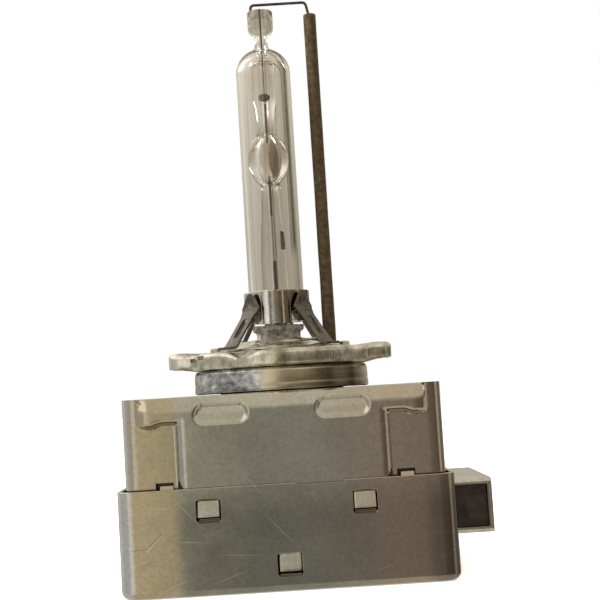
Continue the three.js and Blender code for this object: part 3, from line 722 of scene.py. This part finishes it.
def upper_cover():
    top, foot = UPPER_HIGH.z, UPPER_LOW.z
    edge_x, edge_y = UPPER_HIGH.x - UPPER_CORNER, WALL_Y - UPPER_CORNER
    right = [(4, 7.2), (8.2, 11.2), (11.5, 14), (16.5, 19)]
    x_zones = [(-high, -low) for low, high in right] + [(-1.5, 1.5)] + right
    xs = graded(-edge_x, edge_x, x_zones, FINE, 0.3)
    ys = graded(-edge_y, edge_y, [(-14.4, -13.5), (13.5, 14.4)], FINE, 2.0)
    bend_foot = top - BEND_HEIGHT
    heights = graded(foot, bend_foot, [(2.1, 4.9), (9.3, 12.1), (20.8, 25)], FINE, 0.9)
    levels = [(z, 0.0) for z in heights[:-1]]
    levels += [(bend_foot + BEND_HEIGHT * sin(a), a) for a in quarter(18)]
    rings = [upper_ring(z, 0.0, xs, ys, SHEET, False) for z in (top - SHEET, foot)]
    rings += [upper_ring(z, tilt, xs, ys) for z, tilt in levels]
    cover = loft("upper_cover_shell", rings)
    gap, pocket_depth = 0.4, 0.7
    tools = [upright(circle(TOP_HOLE), top - 2, top + 1),
             brick((UPPER_HIGH.x - 2, INSERT_LOW.y - gap, foot - 1),
                   (UPPER_HIGH.x + 1, INSERT_HIGH.y + gap, INSERT_HIGH.z + gap))]
    for side in (-1, 1):
        near, far = sorted((side * 18.8, side * (UPPER_HIGH.x - 0.55)))
        pocket = brick((near, -15.65, top - pocket_depth), (far, -14.0, top + 1))
        slot = brick((side * SLOT_X - SLOT_HALF, -WALL_Y - 1, SLOT_FOOT),
                     (side * SLOT_X + SLOT_HALF, -WALL_Y + 1, SLOT_TOP))
        tools += [pocket, mirrored_rear(pocket), slot, mirrored_rear(slot)]
    combine(cover, tools, "DIFFERENCE")
    stand_for(smooth(cover, 32), ["upper_cover"], UPPER_METAL)


def latch_tabs():
    """The lanced tongues that show in the slots of the upper cover."""
    for name, side in (("left", -1), ("right", 1)):
        centre = side * SLOT_X + 0.2
        outline = shifted(rounded_rectangle(1.7, 1.5, 0.15, 3), centre, 13.05)
        tab = front_prism(outline, -WALL_Y + 0.02, -WALL_Y + 0.5)
        for vertex in tab.data.vertices:
            vertex.co.y += TAB_LEAN * (vertex.co.z / MM - 12.3) * MM
        rear = mirrored_rear(tab)
        for place, piece in (("front", tab), ("rear", rear)):
            piece.name = f"latch_tab_{place}_{name}"
            add_piece(smooth(ease_edges(piece, 0.06)), UPPER_METAL)


# ---- neck and flange

def base_neck():
    radius = NECK_HIGH.x
    low, high = NECK_LOW.z, NECK_HIGH.z
    profile = [(radius - 0.9, low), (radius - 0.25, low), (radius - 0.05, low + 0.1),
               (radius, low + 0.3), (radius, low + 0.8), (radius - 0.04, low + 0.95),
               (radius - 0.07, low + 1.1), (radius - 0.05, low + 1.3), (radius - 0.02, low + 1.6),
               (radius - 0.04, high - 0.5), (radius - 0.12, high - 0.3), (radius - 0.3, high),
               (radius - 0.9, high)]
    neck = ripple(turned("base_neck_ring", profile, 160), 3.0, 0.06)
    stand_for(smooth(neck), ["base_neck"], NECK_METAL)


FLANGE_RADIUS = FLANGE_HIGH.y
FLANGE_SIDES = 288
DIP_X, DIP_DEPTH = -4.8, 0.95
PEG_X, PEG_Y = 9.3, 4.5
FLANGE_NOTCHES = ((-12.05, 29.75, 0.28), (-10.7, 30.0, 0.42))


def flange_distance(x, y):
    """How far a point lies outside the flange's outline: a disc blended with two lugs."""
    disc = hypot(x, y) - FLANGE_RADIUS
    corner = 2.6
    half_x, half_y = FLANGE_HIGH.x - corner, 4.2 - corner
    dx, dy = max(abs(x) - half_x, 0), max(abs(y) - half_y, 0)
    lugs = hypot(dx, dy) - corner
    blend = 0.9
    mix = max(blend - abs(disc - lugs), 0) / blend
    return min(disc, lugs) - mix * mix * blend / 4


def flange_outline(inset):
    """Where the distance is -inset, found along rays from the axis."""
    outline = []
    for i in range(FLANGE_SIDES):
        angle = 2 * pi * i / FLANGE_SIDES
        direction = cos(angle), sin(angle)
        near, far = FLANGE_RADIUS - 3.5, FLANGE_HIGH.x
        for _ in range(26):
            middle = (near + far) / 2
            outside = flange_distance(middle * direction[0], middle * direction[1]) > -inset
            near, far = (near, middle) if outside else (middle, far)
        outline.append((direction[0] * near, direction[1] * near))
    return outline


def reference_flange():
    low, top, lug_top = FLANGE_LOW.z, 30.6, REFERENCE_PLANE
    bore = 9.0
    profile = [(1.3, low + 0.5), (1.1, low + 0.1), (0.95, low), (0.3, low), (0.1, low + 0.08),
               (0.0, low + 0.3), (0.0, low + 0.9), (0.0, low + 1.5), (0.05, top - 0.6),
               (0.2, top - 0.3), (0.45, top - 0.1), (0.8, top), (1.6, top)]

    def shaped(x, y, z):
        lug = ease_in_out((hypot(x, y) - FLANGE_RADIUS + 0.6) / 1.4)
        upper = (z - low) / (top - low)
        z += lug * ((lug_top - top) * upper + 0.5 * (1 - upper))
        if y < -6:
            dip = DIP_DEPTH * exp(-(((x - DIP_X) / 1.7) ** 2))
            z -= dip * ease_in_out((upper - 0.35) / 0.65)
        return x, y, z

    hole = circle(bore, FLANGE_SIDES)
    rings = [at_height(hole, low + 0.5)]
    rings += [[shaped(x, y, z) for x, y in flange_outline(inset)] for inset, z in profile]
    rings.append(at_height(hole, top))
    flange = loft("reference_flange_ring", rings, loop=True)
    ripple(flange, 2.8, 0.1)
    pits = []
    for x, z, half in FLANGE_NOTCHES:
        edge = min(b for a, b in flange_outline(0) if abs(a - x) < 0.5)
        pits.append(brick((x - half, edge - 1, z - 0.28), (x + half, edge + 2.4, z + 0.28)))
    heal(combine(flange, pits, "DIFFERENCE"))
    stand_for(smooth(flange, 50), ["reference_flange"], FLANGE_METAL)


def locating_pegs():
    foot, top = 30.3, FLANGE_HIGH.z
    profile = [(0, foot), (0.85, foot), (0.85, top - 0.2), (0.78, top - 0.06), (0.6, top), (0, top)]
    for name, x in (("left", -PEG_X), ("right", PEG_X)):
        peg = turned(f"locating_peg_{name}", profile, 40, (x, PEG_Y))
        add_piece(smooth(peg), FLANGE_METAL)


def burner_socket():
    """The insulating core, and the pressed plate round it that the burner's feet stand over."""
    step = 1.8
    top, foot, rim = SOCKET_HIGH.z, SOCKET_LOW.z, SOCKET_HIGH.x - step
    core = turned("burner_socket_core", [
        (1.0, foot), (rim + step, foot), (rim + step, foot + step), (rim, foot + step), (rim, 30.6),
        (3.1, 31.6), (3.1, 32.2), (3.05, 32.9), (3.2, 33.2), (3.5, 33.35), (3.6, 33.5),
        (3.6, top - 0.1), (3.5, top), (2.3, top), (2.3, 32.4), (1.0, 32.0)], 120)
    plate = turned("burner_socket_plate", [
        (3.25, 31.6), (3.25, 31.95), (3.4, 32.05), (6.2, 32.0), (6.5, 31.92), (6.75, 31.7),
        (7.0, 31.5), (7.4, 31.35), (8.3, 31.1), (rim - 0.05, 30.9), (rim - 0.05, 30.7)], 120)
    ripple(core, 0.8, 0.14)
    ripple(plate, 1.6, 0.12)
    for piece in (core, plate):
        heal(piece)
        hole = upright(shifted(circle(1.02, 32), TUBE_X, 0), foot - 2, top + 1)
        heal(combine(piece, [hole], "DIFFERENCE"), 0.03)
    stand_for(smooth(core, 50), ["burner_socket"], SOCKET_CORE)
    add_piece(smooth(plate, 40), FLANGE_METAL)


# ---- collar and legs

def burner_collar():
    """A fluted band round the glass, cut away between its tabs where the legs stand."""
    inner, band_bottom = JACKET_HIGH.x + 0.17, 36.3
    low, high = COLLAR_LOW.z, COLLAR_HIGH.z
    columns, rows = 288, 24
    heights = [low + (high - low) * i / rows for i in range(rows + 1)]
    half_tab, sheet = 27, 0.22

    def radius_at(angle):
        ribs = 0.0
        for tab in range(4):
            for offset, width, rise in ((-19, 9, 0.26), (1, 8.5, 0.24), (17, 6.5, 0.2)):
                away = (angle - (tab * 90 + offset) + 180) % 360 - 180
                ribs = max(ribs, rise * max(0.0, 1 - (away / width) ** 4))
        return inner + 0.1 + ribs

    verts, faces = [], []
    for z in heights:
        for column in range(columns):
            angle = 360 * column / columns
            radius = radius_at(angle)
            turn = radians(angle)
            verts.append((radius * sin(turn), -radius * cos(turn), z))
    for row in range(rows):
        middle = (heights[row] + heights[row + 1]) / 2
        for column in range(columns):
            angle = 360 * (column + 0.5) / columns
            from_tab = abs((angle + 45) % 90 - 45)
            if middle < band_bottom and from_tab > half_tab:
                continue
            a, b = row * columns + column, row * columns + (column + 1) % columns
            faces.append((a, b, b + columns, a + columns))
    collar = new_object("burner_collar_band", verts, faces)
    with mesh_of(collar) as mesh:
        bmesh.ops.delete(mesh, geom=[v for v in mesh.verts if not v.link_faces], context="VERTS")
    thicken = collar.modifiers.new("thicken", "SOLIDIFY")
    thicken.thickness = sheet * MM
    thicken.offset = 1
    apply_modifiers(collar)
    ease_edges(collar, 0.05, 2, 60)
    stand_for(smooth(collar), ["burner_collar"], COLLAR_METAL)


LEG_TURNS = {"front_left": -135, "front_right": -45, "rear_left": 135, "rear_right": 45}


def support_leg(name, degrees):
    """A bent strip of sheet with a pointed head, a pressed hollow in it and a long slot below."""
    sheet = 0.34
    collar, foot, head = JACKET_HIGH.x + 1.0, 30.9, 38.6
    side = rounded_path([(collar, 0, head), (collar, 0, 36.15), (9.2, 0, foot), (10.5, 0, foot)], 0.6)
    inner = [(p.x, p.z) for p in side]
    outer = [(point.x - tangent.z * sheet, point.z + tangent.x * sheet)
             for point, tangent in zip(side, tangents_of(side))]
    strip = front_prism(inner + outer[::-1], -3, 3)
    right = [(1.35, foot - 1), (1.2, 32.0), (1.2, 35.2), (1.7, 36.5), (0.5, 38.45), (0.25, head)]
    outline = right + [(-a, b) for a, b in reversed(right)]
    mask = loft("tool", [[(x, a, z) for a, z in outline] for x in (2, 14)])
    combine(strip, [mask], "INTERSECT")
    slot = [(a, z) for a, z in arc(0, 34.6, 0.48, 0, 180, 8) + arc(0, 32.9, 0.48, 180, 360, 8)]
    hollow = new_sphere((collar + sheet + 0.34, 0, 37.3), (0.56, 0.8, 0.95))
    cutter = loft("tool", [[(x, a, z) for a, z in slot] for x in (2, 14)])
    combine(strip, [cutter, hollow], "DIFFERENCE")
    ease_edges(strip, 0.05)
    strip.name = name + "_strip"
    strip.data.transform(Matrix.Rotation(radians(degrees), 4, "Z"))
    stand_for(smooth(strip), [name], LEG_METAL)


def new_sphere(centre, radii):
    rings = []
    for i in range(1, 16):
        polar = pi * i / 16
        height = centre[2] - radii[2] * cos(polar)
        rings.append([(centre[0] + radii[0] * sin(polar) * x,
                       centre[1] + radii[1] * sin(polar) * y, height) for x, y in circle(1, 32)])
    return loft("tool", rings)


# ---- burner

JACKET_WALL = 0.6
CHAMBER, CHAMBER_HALF = 1.4, 3.1
ELECTRODE_RADIUS, LEAD_RADII = 0.15, {"upper": 0.12, "lower": 0.25}


def ellipse(centre, radius, half_length, start, end, steps):
    return [(radius * cos(radians(start + (end - start) * t)),
             centre + half_length * sin(radians(start + (end - start) * t)))
            for t in steps_of(steps)]


def outer_jacket():
    radius, low, high = JACKET_HIGH.x, JACKET_LOW.z, JACKET_HIGH.z
    inner = radius - JACKET_WALL
    shoulder = 70.6
    profile = [(inner, low), (radius - 0.1, low), (radius, low + 0.1)]
    profile += [(radius, z) for z in (45, 55, 65)]
    profile += ellipse(shoulder, radius, 3.7, 0, 74, 22)
    profile += [(1.05, 74.45), (0.95, 74.9), (0.9, 75.4), (1.0, 75.9), (1.35, 76.35), (1.65, 76.65),
                (1.8, 77.0), (1.85, 77.5), (1.85, high - 0.1), (1.78, high), (1.5, high),
                (1.42, high - 0.1), (1.4, 77.6), (1.2, 77.0), (0.7, 76.5), (0.5, 76.1), (0.45, 75.2),
                (0.5, 74.2), (0.7, 73.5)]
    profile += ellipse(shoulder, inner, 2.85, 78, 0, 20)
    profile += [(inner, z) for z in (65, 55, 45)]
    jacket = turned("outer_jacket_glass", profile, 128)
    stand_for(smooth(jacket, 60), ["outer_jacket"], JACKET_GLASS)


def arc_tube():
    low, high = ARC_LOW.z, ARC_HIGH.z
    bore = 0.3
    profile = [(bore, low), (1.85, low), (1.85, 40), (1.85, 44), (1.7, 47.0), (1.45, 50.0),
               (1.3, 52.6), (1.25, 53.4), (1.3, 53.9), (1.45, 54.3)]
    profile += ellipse(ARC_CENTRE, 2.95, 3.95, -62, 62, 40)
    profile += [(1.45, 61.7), (1.3, 62.1), (1.25, 62.6), (1.35, 64.2), (1.6, 66.0), (1.75, 67.0),
                (1.75, 71.6), (1.6, 72.2), (bore, high), (bore, 66), (bore, 61.2)]
    profile += ellipse(ARC_CENTRE, CHAMBER, CHAMBER_HALF, 77, -77, 32)
    profile += [(bore, 54.8), (bore, 45)]
    tube = turned("arc_tube_quartz", profile, 96)
    stand_for(smooth(tube, 60), ["arc_tube"], ARC_QUARTZ)


def rod(name, node, radius, material):
    low, high = box_mm(node)
    ease = radius * 0.4
    profile = [(0, low.z), (radius - ease, low.z), (radius, low.z + ease), (radius, high.z - ease),
               (radius - ease, high.z), (0, high.z)]
    stand_for(smooth(turned(name, profile, 24)), [node], material)


def foil(node):
    low, high = box_mm(node)
    rings = []
    for t in steps_of(12):
        z = low.z + (high.z - low.z) * t
        wide = high.y * (1 - 0.25 * abs(2 * t - 1) ** 6)
        outline = [(high.x * 0.9 * sin(a), wide * cos(a))
                   for a in (2 * pi * k / 24 for k in range(24))]
        rings.append(at_height(outline, z))
    stand_for(smooth(loft(node + "_strip", rings)), [node], DARK_METAL)


def weld_patches():
    """The dark weld at the foot of the upper foil and the flat tail beside the lower stem's axis."""
    weld = new_sphere((-0.05, -0.1, 67.0), (0.6, 0.25, 0.55))
    weld.name = "foil_weld"
    add_piece(smooth(weld, 80), WELD_BROWN)
    tail = loft("foil_tail", [at_height(shifted(rounded_rectangle(0.5, 0.16, 0.07, 3), 1.0, 0), z)
                              for z in (44.9, 47.5)])
    add_piece(smooth(tail), WELD_BROWN)


def halide_deposit():
    """A thin patch that follows the chamber's wall on its right."""
    verts, faces = [], []
    columns, rows = 20, 30
    half_height, middle, spread = 2.5, -46, 42
    for shell in (1.0, 0.93):
        for i in range(rows + 1):
            v = -1 + 2 * i / rows
            for j in range(columns + 1):
                u = -1 + 2 * j / columns
                reach = sqrt(max(0.02, 1 - v * v))
                wobble = 1 + 0.12 * noise.noise(Vector((u * 2, v * 3, 1.7)))
                angle = radians(middle + spread * u * reach * wobble)
                height = half_height * v
                radius = 1.32 * shell * sqrt(max(0.05, 1 - (height / 3.05) ** 2))
                verts.append((radius * cos(angle), radius * sin(angle), ARC_CENTRE + height))
    width = columns + 1
    layer = (rows + 1) * width
    for i in range(rows):
        for j in range(columns):
            a = i * width + j
            faces.append((a, a + 1, a + width + 1, a + width))
            faces.append((a + layer, a + layer + width, a + layer + width + 1, a + layer + 1))
    rim = ([i * width for i in range(rows)] + [rows * width + j for j in range(columns)]
           + [i * width + columns for i in range(rows, 0, -1)] + list(range(columns, 0, -1)))
    for a, b in zip(rim, rim[1:] + rim[:1]):
        faces.append((a, b, b + layer, a + layer))
    deposit = new_object("halide_salt_film", verts, faces)
    stand_for(smooth(deposit, 70), ["halide_salt_deposit"], HALIDE_FILM)


def return_wire():
    radius = 0.2
    top = WIRE_HIGH.z - radius
    hook_x = WIRE_LOW.x + radius
    points = rounded_path([(hook_x, 0, WIRE_HIGH.z - 1.15), (hook_x, 0, top), (6.7, 0, top),
                           (TUBE_X, 0, 78.4), (TUBE_X, 0, WIRE_LOW.z)], 0.55, 10)
    wire = sweep("return_wire_bend", points, radius)
    stand_for(smooth(wire, 60), ["return_wire"], WIRE_METAL)


def return_wire_tube():
    radius, low, high = TUBE_HIGH.x - TUBE_X, TUBE_LOW.z, TUBE_HIGH.z
    profile = [(0.5, low), (radius, low)]
    profile += [(radius, low + (high - low) * t) for t in steps_of(60)[1:-1]]
    profile += [(radius, high - 0.12), (radius - 0.1, high - 0.02), (radius - 0.2, high), (0.5, high)]
    tube = ripple(turned("return_wire_ceramic", profile, 48, (TUBE_X, 0.0)), 4.0, 0.03)
    stand_for(smooth(tube, 50), ["return_wire_tube"], TUBE_PAINTED_SHADE)


# ---- connector

def connector_shell():
    """A folded sheet sleeve with a lipped window in its front and rear walls."""
    sheet, bend = 0.35, 0.6
    width, height = SHELL_HIGH.y - SHELL_LOW.y, SHELL_HIGH.z - SHELL_LOW.z
    middle = (SHELL_HIGH.z + SHELL_LOW.z) / 2
    x0, x1 = SHELL_LOW.x, SHELL_HIGH.x

    def ring(points, x):
        return [(x, y, z + middle) for y, z in points]

    outline = rounded_rectangle(width, height, bend, 8)
    inline = rounded_rectangle(width - 2 * sheet, height - 2 * sheet, bend - sheet, 8)
    shell = loft("connector_shell_sleeve", [ring(outline, x0), ring(outline, x1), ring(inline, x1),
                                            ring(inline, x0)], loop=True)
    window_width, window_height = x1 - x0 - 1.0, height - 1.4
    centre = (x0 + x1) / 2 - 0.05, middle
    window = shifted(rounded_rectangle(window_width, window_height, 0.2, 4), *centre)
    cutter = front_prism(window, SHELL_LOW.y - 1, SHELL_LOW.y + 1)
    combine(shell, [cutter, mirrored_about_x(cutter)], "DIFFERENCE")
    ease_edges(shell, 0.06)
    lip = lipped_frame(window_width, window_height, centre)
    for place, piece in (("front", lip), ("rear", mirrored_about_x(lip))):
        piece.name = f"connector_window_lip_{place}"
        add_piece(smooth(piece, 60), COLLAR_METAL)
    stand_for(smooth(shell), ["connector_shell"], SHELL_METAL)


def lipped_frame(width, height, centre):
    """The rolled edge of a window: a thin rounded bead that runs round it."""
    bead = []
    radius = 0.13
    for turn in steps_of(12)[:-1]:
        angle = 2 * pi * turn
        grow, out = radius * cos(angle), radius * sin(angle)
        outline = rounded_rectangle(width + 2 * grow, height + 2 * grow, 0.2 + grow, 4)
        bead.append(at_depth(shifted(outline, *centre), SHELL_LOW.y + 0.08 - out))
    return loft("connector_window_lip", bead, loop=True)


def connector_insert():
    low, high = INSERT_LOW, INSERT_HIGH
    middle = (low.z + high.z) / 2
    body = brick(tuple(low), tuple(high))
    cavity = brick((17.2, low.y + 0.7, low.z + 0.7), (high.x + 1, high.y - 0.7, high.z - 0.7))
    slots = [brick((low.x - 1, y - 0.8, middle - 0.65), (18, y + 0.8, middle + 0.65))
             for y in (-6, -2, 2, 6)]
    combine(body, [cavity] + slots, "DIFFERENCE")
    body.name = "connector_insert_body"
    ease_edges(body, 0.12, 3)
    stand_for(smooth(body), ["connector_insert"], BLACK_PLASTIC)


# ---- inner pieces, hidden by the covers

CONTACT_METAL = plain("contact_metal", (0.45, 0.38, 0.22), (0.62, 0.54, 0.34), (0.2, 0.35), 1.0)
INNER_LOOKS = [
    (BLACK_PLASTIC, "inner_housing", "inner_housing_lid"),
    (CONTACT_METAL, "high_voltage_contact", "return_terminal",
     *(f"connector_pin_{i}" for i in (1, 2, 3, 4))),
    (plain("board_lacquer", (0.02, 0.07, 0.035), (0.04, 0.12, 0.06), (0.3, 0.5)), "circuit_board"),
    (plain("ferrite_grey", (0.03, 0.03, 0.033), (0.07, 0.07, 0.075), (0.5, 0.7)), "transformer_core"),
    (plain("bobbin_cream", (0.52, 0.47, 0.36), (0.64, 0.60, 0.50), (0.4, 0.6)),
     "coil_bobbin", "spark_gap", "bleed_resistor"),
    (plain("copper_enamel", (0.36, 0.13, 0.05), (0.55, 0.24, 0.10), (0.2, 0.4), 0.8,
           stretch=(6, 0.4, 0.4)), "secondary_winding", "primary_winding"),
    (plain("capacitor_lacquer", (0.02, 0.07, 0.20), (0.04, 0.12, 0.30), (0.3, 0.5)),
     "ignition_capacitor"),
]


def dress_inner_nodes():
    for material, *names in INNER_LOOKS:
        for name in names:
            paint(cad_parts[name], material)


# ---- stage: floor, lights, camera

STUDIO_WHITE = (0.93, 0.925, 0.915)
FLOOR_GLOW, FLOOR_BOUNCE, FLOOR_HALF = 0.5, (0.30, 0.27, 0.22), 1500
LAMP_TINT = (1.0, 0.97, 0.92)
# What surrounds the lamp, by compass direction in degrees: 0 is the front, positive to its left.
HORIZON = [
    (-180, (0.52, 0.48, 0.40)), (-150, (0.50, 0.46, 0.38)), (-125, (0.22, 0.19, 0.15)),
    (-98, (0.30, 0.26, 0.21)), (-92, (0.62, 0.60, 0.54)), (-80, (0.62, 0.60, 0.54)),
    (-72, (0.16, 0.14, 0.11)), (-30, (0.22, 0.185, 0.14)), (-9, (0.26, 0.23, 0.20)),
    (-4, (0.38, 0.345, 0.305)), (3, (0.39, 0.385, 0.335)), (5.7, (0.42, 0.40, 0.34)),
    (7.2, (0.86, 0.79, 0.62)), (18, (0.90, 0.84, 0.68)), (23, (1.0, 0.99, 0.97)),
    (40, WHITE), (50, (0.62, 0.61, 0.60)), (95, (0.60, 0.59, 0.56)),
    (125, (0.80, 0.77, 0.70)), (150, (0.50, 0.46, 0.38)), (180, (0.52, 0.48, 0.40)),
]
OVERHEAD_CARD = (1.6, 1.53, 1.4)
OVERHEAD, UNDERFOOT = (0.85, 0.79, 0.66), (0.72, 0.67, 0.56)


def two_toned(tree, seen, bounced):
    """The studio is white where it is looked at, and gives off a dimmer, warmer light."""
    return mix_node(add_node(tree, "LightPath", {})["Is Camera Ray"], bounced, seen)


def surroundings(tree):
    """Soft cards and dark gaps round the lamp, brighter above and dull below."""
    place = add_node(tree, "TexCoord", {})["Generated"]
    split = add_node(tree, "SeparateXYZ", {"Vector": place})
    flipped = [range_node(split[axis], 1.0, -1.0, -1.0, 1.0) for axis in ("X", "Y")]
    turn = range_node(math_node("ARCTAN2", *flipped), 0.0, 1.0, -pi, pi)
    around = ramp_node(turn, [((angle + 180) / 360, colour) for angle, colour in HORIZON])
    above = mix_node(smooth_step(split["Z"], 0.06, 0.42), around, OVERHEAD)
    card = math_node("MULTIPLY", smooth_step(split["Z"], 0.25, 0.45),
                     smooth_step(split["X"], -0.2, -0.5))
    above = mix_node(card, above, OVERHEAD_CARD)
    return mix_node(smooth_step(split["Z"], -0.25, -0.6), above, UNDERFOOT)


def stage():
    material, tree, shader = material_nodes("floor_paper")
    feed(shader, {"Roughness": 0.9, "Specular IOR Level": 0.1, "Emission Strength": FLOOR_GLOW,
                  "Base Color": two_toned(tree, STUDIO_WHITE, FLOOR_BOUNCE),
                  "Emission Color": two_toned(tree, STUDIO_WHITE, (0.0, 0.0, 0.0))})
    outline = rectangle(-FLOOR_HALF, -FLOOR_HALF, FLOOR_HALF, FLOOR_HALF)
    floor = new_object("studio_floor", at_height(outline, -0.02), [(0, 1, 2, 3)])
    floor.data.materials.append(material)
    floor.visible_glossy = False

    world = bpy.data.worlds.new("studio_world")
    world.use_nodes = True
    tree = world.node_tree
    feed(tree.nodes["Background"], {"Color": two_toned(tree, WHITE, surroundings(tree))})
    SCENE.world = world
    area_light("key", (-260, -120, 340), (0, 0, 30), 160, 2.2)
    area_light("rim", (300, 160, 260), (0, 0, 50), 140, 0.9)


def area_light(name, where, target, size, power):
    light = bpy.data.lights.new(name, "AREA")
    light.shape = "DISK"
    light.size = size * MM
    light.energy = power
    light.color = LAMP_TINT
    obj = bpy.data.objects.new(name, light)
    obj.location = Vector(where) * MM
    direction = (Vector(target) - Vector(where)).normalized()
    obj.rotation_euler = direction.to_track_quat("-Z", "Y").to_euler()
    obj.visible_glossy = False
    SCENE.collection.objects.link(obj)


def camera():
    """Level with the top of the box, looking up a little and rolled a few degrees."""
    data = bpy.data.cameras.new("camera")
    data.sensor_width = 36
    data.lens = 68.4
    data.clip_start, data.clip_end = 0.01, 10
    obj = bpy.data.objects.new("camera", data)
    yaw, pitch, roll = (radians(angle) for angle in (0.34, 4.5, -3.54))
    forward = Vector((sin(yaw) * cos(pitch), cos(yaw) * cos(pitch), sin(pitch)))
    turn = forward.to_track_quat("-Z", "Y")
    obj.rotation_mode = "QUATERNION"
    obj.rotation_quaternion = Matrix.Rotation(roll, 4, -forward).to_quaternion() @ turn
    obj.location = Vector((2.35, -161.8, 24.87)) * MM
    SCENE.collection.objects.link(obj)
    SCENE.camera = obj


SCENE.view_settings.view_transform = "Standard"
camera()
stage()
lower_cover()
upper_cover()
latch_tabs()
base_neck()
reference_flange()
locating_pegs()
burner_socket()
burner_collar()
for corner, degrees in LEG_TURNS.items():
    support_leg(f"support_leg_{corner}", degrees)
outer_jacket()
arc_tube()
for end in ("upper", "lower"):
    rod(f"{end}_electrode_rod", f"{end}_electrode", ELECTRODE_RADIUS, DARK_METAL)
for end, radius in LEAD_RADII.items():
    rod(f"{end}_lead_rod", f"{end}_lead_wire", radius, WIRE_METAL)
for end in ("upper", "lower"):
    foil(f"{end}_foil")
weld_patches()
halide_deposit()
return_wire()
return_wire_tube()
connector_shell()
connector_insert()
dress_inner_nodes()
